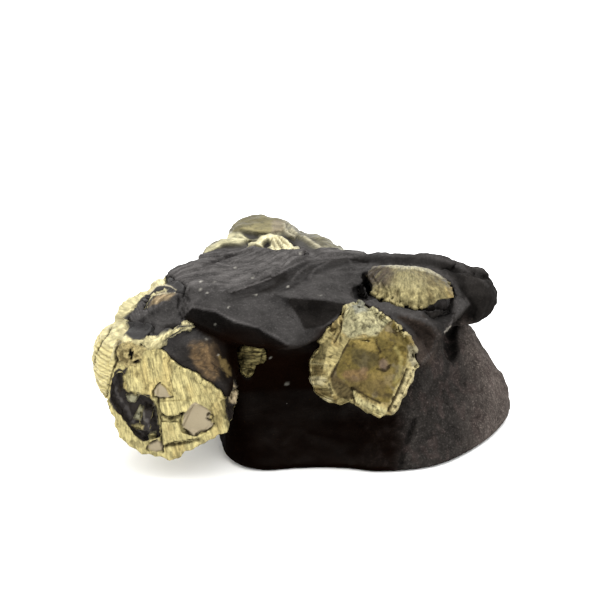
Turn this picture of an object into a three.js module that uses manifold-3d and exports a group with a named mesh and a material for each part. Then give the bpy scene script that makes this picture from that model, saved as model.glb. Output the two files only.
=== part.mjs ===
// Pyrite specimen: a lump of black shale with nodules of radiating pyrite grown in it.
// The shale has a broad foot, a deep recess at the front and an overhanging cap, with an arm to the right.
// Millimetres, +Z up. The origin is the middle of the base, and the front faces -Y.

import * as THREE from "three";
import Module from "manifold-3d";
import { ConvexGeometry } from "three/addons/geometries/ConvexGeometry.js";
import { LoftGeometry } from "three/addons/geometries/LoftGeometry.js";
import { ImprovedNoise } from "three/addons/math/ImprovedNoise.js";
import { mergeVertices } from "three/addons/utils/BufferGeometryUtils.js";

const wasm = await Module();
wasm.setup();

// Driving dimensions
const GAP = 0.4; // free space between the shale and each nodule
const SKIN = 1.2; // thickness of the black skin on two of the nodules
const STATIONS_BETWEEN = 3; // points round a ring for each point of its outline
const ROWS_BETWEEN = 2; // rows from one ring to the next
const FIBRE_RIDGE = 0.28; // height of the ridges that the fibres make on the nodules
const SHALE_WAVES = { reach: 1.6, spacing: [11, 10, 8], sharp: 0 }; // gentle waves on the shale
const SHALE_LEDGES = { reach: 1.1, spacing: [12, 9, 4.5], sharp: 1 }; // ledges with a sharp crest
const SHALE_FLAKES = { reach: 0.5, spacing: [4.6, 4.2, 3.4], sharp: 0 }; // small flaking

// Colours of the shale and the pyrite
const shaleBlack = new THREE.MeshStandardMaterial({ color: 0x2a2727, roughness: 0.85, metalness: 0 });
const brass = new THREE.MeshStandardMaterial({ color: 0xc9b572, roughness: 0.45, metalness: 0.9 });
const oliveBrass = new THREE.MeshStandardMaterial({ color: 0x8f7a45, roughness: 0.5, metalness: 0.85 });
const darkOlive = new THREE.MeshStandardMaterial({ color: 0x7d6d42, roughness: 0.5, metalness: 0.85 });
const greyBrass = new THREE.MeshStandardMaterial({ color: 0xa89f72, roughness: 0.5, metalness: 0.85 });
const dullBrass = new THREE.MeshStandardMaterial({ color: 0x9a8c58, roughness: 0.5, metalness: 0.85 });

const noise = new ImprovedNoise();
const vector = ([x, y, z]) => new THREE.Vector3(x, y, z);

// A closed mesh as a solid that can be joined and cut. Triangles that have shrunk to a line are left out.
function solidOf(geometry) {
  const bare = new THREE.BufferGeometry();
  bare.setAttribute("position", geometry.getAttribute("position"));
  bare.setIndex(geometry.index);
  const merged = mergeVertices(bare, 1e-4);
  const corners = Array.from(merged.index.array);
  const triangles = corners.flatMap((a, i) => (i % 3 ? [] : [[a, corners[i + 1], corners[i + 2]]]));
  const whole = triangles.filter(([a, b, c]) => a !== b && b !== c && c !== a);
  return new wasm.Manifold(
    new wasm.Mesh({
      numProp: 3,
      vertProperties: merged.getAttribute("position").array,
      triVerts: new Uint32Array(whole.flat()),
    }),
  );
}

// A loft through rounded sections, closed at each end by a fan round the middle of the section.
function closedLoft(sections) {
  const middleOf = (section) => {
    const total = section.reduce((sum, point) => sum.add(point), new THREE.Vector3());
    const middle = total.divideScalar(section.length);
    return section.map(() => middle);
  };
  return new LoftGeometry([middleOf(sections[0]), ...sections, middleOf(sections.at(-1))]);
}

function geometryOf(solid) {
  const mesh = solid.getMesh();
  const geometry = new THREE.BufferGeometry();
  geometry.setAttribute("position", new THREE.BufferAttribute(mesh.vertProperties, 3));
  geometry.setIndex(new THREE.BufferAttribute(mesh.triVerts, 1));
  geometry.computeVertexNormals();
  return geometry;
}

const joined = (solids) => solids.reduce((whole, solid) => whole.add(solid));
const cut = (whole, solids) => solids.reduce((rest, solid) => rest.subtract(solid), whole);

// Points round a closed smooth curve, the same number after each of its own points.
function roundCurve(points, between) {
  const curve = new THREE.CatmullRomCurve3(points, true, "centripetal");
  const count = points.length * between;
  return Array.from({ length: count }, (_, i) => curve.getPoint(i / count));
}

// Rows of points on the smooth curves that climb through all the rings.
function rowsThrough(rings, between) {
  const climb = (_, i) => new THREE.CatmullRomCurve3(rings.map((ring) => ring[i]), false, "centripetal");
  const climbs = rings[0].map(climb);
  const count = (rings.length - 1) * between;
  const rowAt = (share) => climbs.map((curve) => curve.getPoint(share));
  return Array.from({ length: count + 1 }, (_, row) => rowAt(row / count));
}

// Moves each point of the rock a little, so that it looks broken. The flat base stays flat.
function roughened(geometry, centre, layers) {
  const position = geometry.getAttribute("position");
  const point = new THREE.Vector3();
  for (let i = 0; i < position.count; i += 1) {
    point.fromBufferAttribute(position, i);
    const lift = THREE.MathUtils.smoothstep(point.z, 1, 4);
    const away = point.clone().sub(centre).normalize();
    for (const { reach, spacing, sharp } of layers) {
      const [x, y, z] = point.toArray().map((value, axis) => value / spacing[axis] + 40);
      const wave = noise.noise(x, y, z);
      point.addScaledVector(away, (sharp ? 0.25 - Math.abs(wave) : wave) * reach * lift);
    }
    position.setXYZ(i, point.x, point.y, point.z);
  }
  return geometry;
}

// The plane that a nodule's outline is drawn on: its front point, the way it faces, its right and its up.
function planeOf({ front, facing }) {
  const ahead = vector(facing).normalize();
  const right = new THREE.Vector3().crossVectors(new THREE.Vector3(0, 0, 1), ahead).normalize();
  const up = new THREE.Vector3().crossVectors(ahead, right);
  const place = (x, y, behind) =>
    vector(front).addScaledVector(right, x).addScaledVector(up, y).addScaledVector(ahead, -behind);
  return place;
}

// A nodule, as sections of one outline from its root to its front. Each step of the profile is the
// distance behind the front, the share of the outline, and its shift to the right and up. Every other
// spoke is a furrow, and these are left out where the nodule is grown to make its socket.
function nodule({ front, facing, outline, profile, spokes, ridge = FIBRE_RIDGE }, grow = 0) {
  const place = planeOf({ front, facing });
  const drawn = outline.map(([x, y]) => new THREE.Vector3(x, y, 0));
  const rim = new THREE.CatmullRomCurve3(drawn, true, "centripetal");
  const count = grow ? spokes / 2 : spokes;
  const round = rim.getSpacedPoints(count).slice(0, count);
  const sections = profile.map(([behind, share, shiftRight = 0, shiftUp = 0], step) =>
    round.map(({ x, y }, i) => {
      const reach = Math.hypot(x, y);
      const furrow = i % 2 && !grow ? ridge * Math.min(1, share * 1.5) : 0;
      const out = (share * reach - furrow + grow) / reach;
      return place(x * out + shiftRight, y * out + shiftUp, step ? behind - grow : behind + grow);
    }),
  );
  return solidOf(closedLoft(sections));
}

// A flat-sided block on a nodule's plane, from a depth behind it to a height ahead of it.
function block(plane, outline, behind, ahead) {
  const place = planeOf(plane);
  const section = (depth) => outline.map(([x, y]) => place(x, y, depth));
  return solidOf(new LoftGeometry([section(behind), section(-ahead)], { capStart: true, capEnd: true }));
}

// A flat-faced lump round some points, pushed outwards by the growth.
function chunk(points, grow = 0) {
  const corners = points.map(vector);
  const total = corners.reduce((sum, point) => sum.add(point), new THREE.Vector3());
  const middle = total.divideScalar(corners.length);
  for (const corner of corners) {
    corner.addScaledVector(corner.clone().sub(middle).normalize(), grow * 1.3);
  }
  return solidOf(new ConvexGeometry(corners));
}

// A rounded lump.
function lump({ centre, radii, layers = [], detail = 4 }, grow = 0) {
  const ball = new THREE.IcosahedronGeometry(1, detail);
  ball.scale(radii[0] + grow, radii[1] + grow, radii[2] + grow);
  ball.translate(...centre);
  ball.deleteAttribute("normal");
  ball.deleteAttribute("uv");
  return solidOf(roughened(mergeVertices(ball, 1e-4), vector(centre), layers));
}

// A thin ridge along a line, narrow at its ends.
function vein({ line, radius }, grow = 0) {
  const curve = new THREE.CatmullRomCurve3(line.map(vector));
  const count = line.length + 2;
  const ends = { 0: -grow, [count]: grow };
  const sections = Array.from({ length: count + 1 }, (_, i) => {
    const along = curve.getTangent(i / count);
    const centre = curve.getPoint(i / count).addScaledVector(along, ends[i] ?? 0);
    const right = new THREE.Vector3(0, 0, 1).cross(along).normalize();
    const up = along.clone().cross(right);
    const size = radius * (0.45 + 0.55 * Math.sin((Math.PI * i) / count)) + grow;
    return Array.from({ length: 6 }, (_, j) => {
      const angle = (j / 6) * 2 * Math.PI;
      return centre
        .clone()
        .addScaledVector(right, Math.cos(angle) * size)
        .addScaledVector(up, Math.sin(angle) * size);
    });
  });
  return solidOf(closedLoft(sections));
}

// The shale's outlines, from the base up. Each ring runs anticlockwise from the right-hand end: seven
// points round the right and the back, three down the left, and eleven along the front.
const shaleCentre = new THREE.Vector3(6, 0, 16);

const skirt = [
  [43.2, 1, 1.2], [42, 10, 1.2], [36, 19, 1.2], [24, 25, 1.2], [9, 26, 1.2], [-5, 24, 1.2],
  [-14, 17, 1.2], [-17, 4, 1.2], [-16.5, -8, 1.2], [-15.6, -14, 1.2], [-14.6, -18.5, 1],
  [-11.5, -22.6, 0.8], [-7, -24.2, 0.7], [-1.5, -23.4, 0.7], [4, -23, 0.7], [9.5, -23.4, 0.7],
  [14.5, -24.6, 0.7], [20.5, -24.2, 0.7], [27, -22.2, 0.8], [34, -16.2, 0.9], [40.3, -7.4, 1.1],
];

const REST_SHARE = 0.97; // the flat spot that it rests on, as a share of the skirt
const REST_CENTRE = [12, 1];
const rest = skirt.map(([x, y]) => [
  REST_CENTRE[0] + (x - REST_CENTRE[0]) * REST_SHARE,
  REST_CENTRE[1] + (y - REST_CENTRE[1]) * REST_SHARE,
  0,
]);

const lowWall = [
  [40.6, 2, 8], [39.5, 10, 8], [34, 18, 9], [23, 24, 9], [9, 25.5, 9], [-7, 24, 9], [-16, 17, 9],
  [-18, 5, 9], [-17, -5, 8], [-16.5, -11, 8], [-14.5, -16, 7.5], [-11, -18.5, 8], [-6, -18, 8],
  [-1, -17, 8], [4, -16.5, 8], [9.5, -17, 8], [14.8, -19.5, 7.5], [20.5, -19, 8],
  [26.5, -16.5, 8.5], [33, -11.5, 8.5], [38.2, -5, 8.5],
];

const waist = [
  [35.4, 4, 16.5], [34.5, 11, 15.5], [29, 18, 15], [20, 23, 15], [8, 25, 15], [-8, 25, 15], [-18, 19, 15],
  [-23, 8, 16], [-24, -3, 17], [-19, -9, 17], [-15.5, -11.5, 17], [-10, -11.5, 17], [-5, -11, 17],
  [0, -10.5, 17], [5, -10.5, 17], [10, -12, 17], [16, -14, 16.5], [21.5, -14, 16],
  [26.5, -11.5, 16.5], [30.5, -7, 17], [33.5, -2, 17],
];

const neck = [
  [31.8, 4, 21.2], [32, 10, 20], [28, 17, 19], [20, 23, 18.5], [8, 25.5, 18.5], [-9, 26, 18.5],
  [-20, 20, 19], [-27, 9, 21], [-27.5, -4, 23], [-21, -12, 23.5], [-15.5, -13.5, 23.5],
  [-10, -13.5, 23], [-5, -13.5, 23], [0, -13.5, 23], [4.5, -14, 23.5], [9.5, -15, 23.5],
  [15.5, -15, 23.5], [21.5, -13.5, 23], [26, -10.5, 22], [28.5, -6.5, 21.6], [30.6, -2, 21.4],
];

const undercut = [
  [38.4, 1.5, 24.2], [36, 9, 23.5], [30.5, 17, 22.5], [21, 23, 21.5], [8, 25.5, 21], [-9, 26, 21],
  [-21, 20, 22], [-27.5, 9, 24.5], [-28, -6, 26.5], [-22.5, -15.5, 27.5], [-16.5, -20, 27.1],
  [-11, -21.8, 26.4], [-6.5, -22.6, 25.8], [-1.8, -23.2, 26], [3.5, -20.5, 27], [9.5, -18.5, 28],
  [15.5, -17, 27.5], [21.5, -15, 26], [26.5, -12.5, 24.2], [30, -7.5, 23.2], [35, -3, 23],
];

const brow = [
  [39.6, -0.5, 26.4], [37.5, 8, 27], [32, 16, 25.5], [22, 21.5, 24.5], [9, 23.5, 24], [-8, 24, 24],
  [-20, 18, 26], [-26, 7, 28.5], [-25.5, -8, 31], [-21.6, -19.2, 32.2], [-17, -22.5, 33],
  [-11.2, -25, 31.4], [-7, -26.4, 30], [-2.2, -27.3, 28.4], [2.6, -22.5, 28.4], [8.5, -18.5, 31],
  [14.5, -17.5, 31], [21.5, -17, 30], [28, -13, 29.5], [32, -8.5, 27.3], [37.5, -4, 25.2],
];

const sheet = [
  [37.6, 1, 29], [35, 6, 29.8], [30, 12, 29.5], [21, 16, 28.8], [9, 18, 28.4], [-7, 18, 28.8],
  [-17, 12, 30], [-23.6, 3, 31.6], [-24.2, -8, 33], [-22.4, -14, 33.4], [-18.1, -16, 33.8],
  [-12.4, -17, 33.6], [-7.4, -17, 33.8], [-2.8, -17, 34.1], [3, -15.5, 33.3], [8.8, -13, 32.2],
  [14, -12, 32.2], [21, -12, 32.2], [27.6, -10, 32.2], [32.6, -5, 31.6], [36.4, -2, 30.8],
];

const crest = [
  [33.6, 2.5, 30.6], [31, 5, 31], [26, 6.5, 31.6], [19, 7, 32], [9, 7.5, 32], [-4, 8, 32.4],
  [-12, 5, 33.2], [-19, 1, 34.1], [-20, -5, 34.2], [-17.5, -9, 34.3], [-14, -10.5, 34.2],
  [-10, -10, 34.3], [-6.5, -9, 34.8], [-2.5, -8, 34.9], [2, -7, 34.6], [7, -5.2, 34.5],
  [12, -3.2, 33.9], [19, -2.5, 33.2], [25, -1.5, 33.2], [29, -0.5, 32.4], [32, 0.5, 31.7],
];

const CROWN_CENTRE = [4, 0.5, 34];
const insideCrest = (share) =>
  crest.map((point) => point.map((value, axis) => value + (CROWN_CENTRE[axis] - value) * share));

// The upper sheet on the top of the cap, with a step along its front edge
const upperSheet = {
  front: [-8, -6, 34.85],
  facing: [0.035, -0.08, 1],
  outline: [
    [-16, -9], [-11.9, -12], [-8.8, -11.4], [-3.3, -9.2], [1.3, -4.8], [4.8, 0.4], [8, 3.6], [12.6, 5],
    [14, 7.4], [9, 9], [3.3, 8.4], [-2.7, 6.8], [-9.4, 4.4], [-13.8, 0.8], [-16.4, -4.6],
  ],
  profile: [[3, 0.96], [0.6, 0.98], [0, 0.9]],
  spokes: 30,
  ridge: 0.1,
};

// Lumps of the cap: the knob on the arm, the facet beside the right nodule, the wedge between the middle
// and right nodules, the fold behind them, and the low mounds in front of the back cluster
const knob = { centre: [35.4, 2, 30.5], radii: [2.6, 2, 1.7], detail: 1 };
const facet = [
  [28.4, -11.4, 32], [31, -9, 31.2], [33.6, -7.6, 29], [32.6, -8.6, 27.8], [30.3, -11.6, 26.6],
  [26.8, -15.2, 26], [27, -14.2, 29.2], [24, -8, 26], [30, -4, 26], [28, -6, 31.4],
];
const wedge = [
  [14.6, -15.5, 32.2], [17, -17.6, 31.4], [21.5, -18.4, 30.2], [25.4, -17.6, 28], [27.4, -15.6, 24.6],
  [14, -8, 30.6], [28.6, -9, 28], [20, -8, 24], [29.4, -12, 27.2],
];
const fold = { centre: [20, 4.2, 31.9], radii: [11.5, 3.6, 1.9], detail: 2 };
const mounds = [
  { centre: [-13, 3.4, 33.4], radii: [7.4, 4, 2], layers: [SHALE_FLAKES], detail: 2 },
  { centre: [3.4, 5.4, 32], radii: [7, 4, 1.9], layers: [SHALE_FLAKES], detail: 2 },
];

// What has broken out of it: a hollow facet under the sheet, a groove down the foot and a pocket
const hollowFacet = { centre: [3.6, -19.4, 33.6], radii: [6.5, 4, 4], detail: 3 };
const groove = { centre: [29.6, -12.6, 21.6], radii: [1.3, 2.2, 3.4], detail: 1 };
const pocket = { centre: [11.4, -11.6, 33.2], radii: [1.7, 4, 2.3], detail: 1 };

// The left nodule, broken open at the front
const leftNodule = {
  front: [-25.5, -27.6, 16],
  facing: [-0.15, -1, 0.05],
  outline: [
    [10.5, 3.2], [7.7, 6.1], [4.8, 7.1], [1.9, 8.4], [0, 10.1], [-1.7, 11.6], [-3.6, 12.5], [-8.2, 12.8],
    [-10.2, 11], [-11.1, 6.8], [-11.5, 1.6], [-11.5, -1.1], [-10.3, -3.1], [-10, -5.6], [-9.1, -7.6],
    [-7.1, -9.2], [-5.2, -10.5], [-2.8, -10.5], [1.7, -11.5], [3.2, -9.9], [6.6, -7.9], [10.9, -5.1],
    [12.2, -4.1], [11.3, -0.9],
  ],
  profile: [
    [17, 0.45, 3, 1.4], [14, 0.74, 2, 1], [10, 0.9, 1, 0.6], [6, 0.97, 0.4, 0.4], [3, 1, 0, 0.2],
    [0.3, 1], [0, 0.98],
  ],
  spokes: 56,
};

// On its broken face: the black hollow, three flat crystal faces set in, and two raised steps
const blackHollow = [
  [-10.4, 3], [-10.6, 0.6], [-9.4, -1.8], [-7.6, -4.2], [-6.1, -6.2], [-4.4, -7.5], [-1.2, -6.6],
  [-1.5, -2], [-1.9, 0.2], [-3, 1.6], [-7.3, 3], [-7.6, 5], [-8.8, 6.6], [-10.2, 5.2],
];
const flatFaces = [
  [[-1.7, 1.9], [1.6, 2.2], [0.1, 4.1], [-0.8, 4.7], [-1.6, 4]],
  [[3.1, -4.2], [6.2, -5], [9, -3.3], [8.6, -2.1], [9, -0.4], [5.5, 1.2]],
  [[-3.6, -9.3], [-2, -9.6], [-0.5, -9.1], [-0.8, -7.9], [-1.6, -7.3], [-3.2, -7.8]],
];
const raisedSteps = [
  [[-1.1, -2.2], [2.4, -1.6], [3.3, -2.1], [4.7, 0.1], [6.7, 1.1], [4.7, 1.9], [-1.1, 1.3]],
  [[-0.4, -7.8], [5.8, -6.5], [8.3, -4.4], [6.2, -5.2], [3.2, -5], [2.4, -2.8], [-1, -2.9]],
];
const hollowCrystal = [
  [-30.2, -28.4, 11], [-28.6, -28.8, 11.4], [-28, -28.3, 15], [-29.6, -28, 15.4],
  [-29.6, -25, 11], [-28, -25, 15], [-31, -25.5, 12], [-29.6, -25, 15.6],
];

// The outer lobe at its left, furrowed along level lines
const lobeOutline = [
  [-26, -9], [-30, -6.5], [-34.5, -6.5], [-38.4, -9.5], [-40.3, -14], [-39.9, -19], [-37, -23.6],
  [-32, -24.5], [-27, -22], [-24.5, -15],
];
const LOBE_CENTRE = [-32.5, -15.5];
const LOBE_LEDGE = 0.7; // height of each of its level ledges
const LOBE_PROFILE = [
  [11, 0.35], [12.5, 0.65], [14.5, 0.84], [16.8, 0.95], [19, 1], [21.2, 1], [23.3, 0.94], [25.1, 0.8],
  [26.6, 0.57], [27.3, 0.4],
];

function leftLobe(grow = 0) {
  const rim = roundCurve(lobeOutline.map(([x, y]) => new THREE.Vector3(x, y, 0)), 2);
  const [middleX, middleY] = LOBE_CENTRE;
  const middle = (LOBE_PROFILE[0][0] + LOBE_PROFILE.at(-1)[0]) / 2;
  const steps = grow ? [LOBE_LEDGE / 2] : [0, LOBE_LEDGE];
  const beyond = grow ? grow + LOBE_LEDGE / 2 : 0;
  const sections = LOBE_PROFILE.flatMap(([z, share]) =>
    steps.map((step) =>
      rim.map(({ x, y }) => {
        const reach = Math.hypot(x - middleX, y - middleY);
        const out = (share * reach + grow - (step && !grow ? FIBRE_RIDGE : 0)) / reach;
        const height = z + step + Math.sign(z - middle) * beyond;
        return new THREE.Vector3(middleX + (x - middleX) * out, middleY + (y - middleY) * out, height);
      }),
    ),
  );
  return solidOf(closedLoft(sections));
}

// The nodule above it, its front under a black skin
const upperNodule = {
  front: [-28.6, -17.2, 28.3],
  facing: [-0.3, -0.5, 0.8],
  outline: [
    [-1.1, -4.9], [1.7, -3.6], [5, -0.2], [5.6, 2.6], [4.6, 6.4], [1.7, 9.8], [-1.8, 9.9], [-4.8, 8.2],
    [-6.8, 6.4], [-8.8, 4.3], [-9.4, 1.6], [-8.6, -1.3], [-6.8, -3.4], [-4.2, -4.9],
  ],
  profile: [[9, 0.5, 3, 1], [7, 0.8, 2, 0.6], [4, 0.97, 0.8, 0.2], [1.5, 1.02], [0.3, 0.97], [-0.2, 0.6]],
  spokes: 36,
};
const upperSkin = {
  ...upperNodule,
  outline: [
    [3.3, 7.9], [1.1, 7.8], [-1.6, 7.2], [-3.4, 5.4], [-4.4, 3.4], [-5.2, 1.5], [-5.6, -0.6], [-4.9, -2.7],
    [-3.1, -4.3], [-0.8, -4.6], [1.9, -3.7], [4.6, -1.8], [6.6, 0.3], [8, 1.7], [6, 4.6],
  ],
  profile: [[3, 0.9, 1], [1, 1, 0.3], [-0.7, 0.93], [-SKIN - 0.3, 0.6]],
  spokes: 26,
  ridge: 0,
};
const upperVeins = [
  {
    line: [
      [-31.8, -25.2, 28.5], [-29.3, -26.6, 28.8], [-27.3, -27.1, 29.3], [-25.5, -25.2, 29.6],
      [-23.6, -23, 29.7], [-21.9, -21.7, 30], [-20.5, -20.9, 29.9],
    ],
    radius: 0.85,
  },
  {
    line: [
      [-29.7, -15.4, 30.4], [-28.9, -13.7, 31.5], [-28, -12.8, 32.1], [-26.6, -12.7, 32.8],
      [-25, -13, 33.2], [-23.8, -14, 33.2],
    ],
    radius: 0.6,
  },
];
const topLump = { centre: [-26.8, -7.6, 32], radii: [2.6, 3.4, 1.5], detail: 1 };

// The flakes on the right flank of the left nodule
const flakes = [
  [
    [-13.9, -22.6, 19.2], [-12.6, -22.2, 19], [-12.4, -22.4, 17.6], [-13.4, -23.4, 17.7],
    [-15, -20, 19], [-14.5, -20, 17],
  ],
  [
    [-13, -22.4, 16.8], [-11.6, -22, 16.9], [-12.2, -22.8, 14.2], [-13.2, -23.6, 14],
    [-14.6, -20, 16.5], [-14, -20, 14],
  ],
];

// The middle nodule, with columns on its flank and a raised rim round its rough brown face
const middleNodule = {
  front: [12.6, -24.5, 22.5],
  facing: [-0.12, -0.95, 0.3],
  outline: [
    [-4.5, 11], [-5, 9.2], [-7.7, 7.4], [-8.8, 6.1], [-9, 4.3], [-10, 2.7], [-11.3, 1.3], [-11.4, -0.2],
    [-11.2, -2.5], [-10.4, -5], [-9, -6.6], [-5, -7.9], [-2.7, -7.2], [-0.7, -8.6], [3.3, -9.9],
    [4.8, -9], [5.9, -9.4], [6.6, -7.5], [9.4, -0.8], [9.2, 1.6], [7.7, 5.4], [5.2, 8.1], [1.6, 10.4],
    [-1.2, 11.8], [-2.7, 12],
  ],
  profile: [
    [14, 0.5], [11, 0.8], [7, 0.97], [3.4, 1], [1.8, 0.97, 0.1], [0.3, 0.85, 0.8, 0.1], [-0.2, 0.72, 1, 0],
    [0.9, 0.6, 1, -0.4], [1, 0.35, 1, -0.4], [0.7, 0.12, 1, -0.4],
  ],
  spokes: 48,
};
const middleCollar = {
  ...middleNodule,
  profile: [[16, 1, 1, 0], [9, 1.1, 1, 0], [6, 1.12, 0.6, 0], [4, 1.08, 0.3, 0], [2.8, 1.02]],
  spokes: 32,
  ridge: 0,
};
const middleRimBlock = [
  [-4.4, 11], [-4.9, 7], [-6, 4], [-3.4, 5.4], [1.6, 5.4], [4, 7.6], [1.4, 10.4], [-2, 12],
];

// The right nodule, a dome between the cap and the fold behind it
const rightNodule = {
  front: [20.5, -9.5, 33],
  facing: [0.05, -0.35, 0.93],
  outline: [
    [-7, 2.6], [-7, -0.8], [-6.2, -2.2], [-4.6, -3.5], [-2.8, -4.6], [-0.8, -5.4], [2.4, -6.2],
    [6.2, -5.2], [8.4, -4.3], [9.5, -3], [9.5, -0.8], [8.6, 2], [7, 3.9], [4.8, 5.1], [1.8, 5.8],
    [-1.1, 6.3], [-4, 6.4], [-6.4, 6],
  ],
  profile: [
    [8, 0.5], [6, 0.85], [3, 1.02], [0.6, 1], [-0.8, 0.86, 0, 0.2], [-1.8, 0.58, 0, 0.6],
    [-2.2, 0.2, 0, 0.8],
  ],
  spokes: 64,
};

// The cluster at the back of the top, running down the back
const backCap = {
  front: [-7.4, 15, 34.4],
  facing: [0.02, -0.15, 0.98],
  outline: [[-7, -2.4], [-4, -4], [0, -3], [4, -4.6], [7.4, -3], [8, 2], [5, 6.4], [-1, 7.6], [-6, 5]],
  profile: [[12, 0.8, 0, 1], [8, 1, 0, 0.5], [3, 1.02], [0.9, 0.97], [-0.5, 0.75], [-1.1, 0.4, -1.4]],
  spokes: 30,
};
const backRight = {
  front: [3, 12, 31.8],
  facing: [0.26, -0.2, 0.95],
  outline: [[-7, -1], [-4, -5], [1, -6], [5.4, -4], [7, 0], [5.6, 4.4], [0, 6.4], [-5, 4.4]],
  profile: [[9, 0.8], [5, 1], [1.2, 1.02], [0, 0.9], [-0.8, 0.6], [-1, 0.3]],
  spokes: 28,
};
const backLeft = {
  front: [-14.4, 9, 33.4],
  facing: [-0.2, -0.45, 0.86],
  outline: [[-5, -3.5], [0, -4], [5, -2.5], [5.5, 1.5], [2, 3.5], [-3, 2.5], [-5.2, 0]],
  profile: [[7, 0.6, 1], [4, 1], [1, 1], [0, 0.85], [-0.5, 0.45]],
  spokes: 24,
};
const backFan = {
  front: [-5.4, 7.4, 34.8],
  facing: [0, -0.8, 0.6],
  outline: [[-5, -1.5], [0, -2.4], [5.4, -1.6], [3.5, 0.3], [0.6, 1.7], [-1.8, 1.6], [-3.8, 0.2]],
  profile: [[5, 0.7, 0, 1], [2, 1, 0, 0.4], [0, 0.95], [-0.4, 0.5]],
  spokes: 24,
};
const backDown = {
  front: [-4, 25, 24],
  facing: [-0.05, 0.93, 0.3],
  outline: [
    [-10, 4], [-10.5, -3], [-6, -8.5], [0, -9.5], [6, -8], [10, -2], [10, 4], [6, 8], [0, 9], [-6, 8],
  ],
  profile: [[9, 0.7], [5, 0.98], [2, 1.03], [0.4, 0.96], [-0.8, 0.7], [-1.2, 0.35]],
  spokes: 34,
};

// The small crystals at the back of the recess
const smallCrystal = [
  [-11.4, -13.2, 20.8], [-10.3, -13.4, 22], [-7.3, -13.2, 21.8], [-7.7, -13.6, 18.8], [-10.9, -13.8, 18],
  [-11, -9, 17], [-11.4, -9, 22.4], [-7, -9, 22.4], [-7, -9, 18],
];
const smallTail = [
  [-10.9, -12.9, 18.2], [-9.4, -12.9, 17.6], [-9.8, -12.7, 15], [-11, -12.5, 15.8],
  [-10.9, -9, 18.6], [-9, -9, 18], [-9.6, -9, 15], [-11, -9, 15.4],
];

function leftPyrite(grow = 0) {
  const body = joined([
    nodule(leftNodule, grow),
    leftLobe(grow),
    nodule(upperNodule, grow),
    ...upperVeins.map((line) => vein(line, grow)),
    lump(topLump, grow),
    ...flakes.map((points) => chunk(points, grow)),
  ]);
  if (grow) {
    return body;
  }
  const steps = raisedSteps.map((outline) => block(leftNodule, outline, 2, 0.7));
  const faces = flatFaces.map((outline) => block(leftNodule, outline, 0.5, 3));
  const hollow = block(leftNodule, blackHollow, 2.2, 3);
  return cut(joined([body, ...steps]), [hollow, ...faces]).add(chunk(hollowCrystal));
}

function middlePyrite(grow = 0) {
  const body = nodule(middleNodule, grow);
  return grow ? body : body.add(block(middleNodule, middleRimBlock, 2, 0.6));
}

function backPyrite(grow = 0) {
  return joined([backCap, backRight, backLeft, backFan, backDown].map((knob) => nodule(knob, grow)));
}

function smallPyrite(grow = 0) {
  return joined([chunk(smallCrystal, grow), chunk(smallTail, grow)]);
}

const rightPyrite = (grow = 0) => nodule(rightNodule, grow);

// Shale that fills the corner between the left nodule and the cap
const cheek = { centre: [-20.4, -17, 20.4], radii: [8.6, 9.2, 9], layers: [SHALE_FLAKES], detail: 3 };

// The sides of the left and middle nodules on which the shale is kept
const leftSkinSide = [[-3.4, 11.5], [12, 2.5], [30, 2.5], [30, 30], [-3.4, 30]];
const middleCollarSide = [[-1, 9], [6, 3], [30, -9], [30, 30], [-1, 30]];

function shale() {
  const sides = [skirt, lowWall, waist, neck, undercut, brow, sheet, crest];
  const rings = [rest, ...sides, insideCrest(0.45), insideCrest(0.85)];
  const [flat, ...climbing] = rings.map((ring) => roundCurve(ring.map(vector), STATIONS_BETWEEN));
  const rows = [flat, ...rowsThrough(climbing, ROWS_BETWEEN)];
  const body = solidOf(roughened(closedLoft(rows), shaleCentre, [SHALE_WAVES, SHALE_LEDGES, SHALE_FLAKES]));
  const leftSkin = nodule(leftNodule, SKIN + GAP).intersect(block(leftNodule, leftSkinSide, 30, -0.3));
  const collar = nodule(middleCollar).intersect(block(middleNodule, middleCollarSide, 30, 0));
  const whole = joined([
    body,
    nodule(upperSheet),
    lump(knob),
    chunk(facet),
    chunk(wedge),
    lump(fold),
    ...mounds.map((mound) => lump(mound)),
    leftSkin,
    lump(cheek),
    nodule(upperSkin),
    collar,
  ]);
  const sockets = [leftPyrite(GAP), middlePyrite(GAP), rightPyrite(GAP), backPyrite(GAP), smallPyrite(GAP)];
  return cut(whole, [lump(hollowFacet), lump(groove), lump(pocket), ...sockets]);
}

// The middle of the base, in the coordinates above
const BASE_MIDDLE = { x: 1.4, y: -0.9 };

const group = new THREE.Group();
group.name = "pyrite_specimen";
group.position.set(-BASE_MIDDLE.x, -BASE_MIDDLE.y, 0);

function addNode(name, solid, material) {
  const mesh = new THREE.Mesh(geometryOf(solid), material);
  mesh.name = name;
  group.add(mesh);
}

addNode("matrix", shale(), shaleBlack);
addNode("pyrite_left", leftPyrite(), brass);
addNode("pyrite_middle", middlePyrite(), oliveBrass);
addNode("pyrite_right", rightPyrite(), darkOlive);
addNode("pyrite_back", backPyrite(), greyBrass);
addNode("pyrite_small", smallPyrite(), dullBrass);

export default group;
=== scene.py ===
"""A pyrite specimen: black shale with nodules of radiating pyrite, on a plain pale floor."""

import itertools
import math

import bmesh
import bpy
import numpy as np
from bpy.props import FloatProperty, FloatVectorProperty, PointerProperty
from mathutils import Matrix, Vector
from mathutils.bvhtree import BVHTree
from mathutils.geometry import delaunay_2d_cdt


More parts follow.
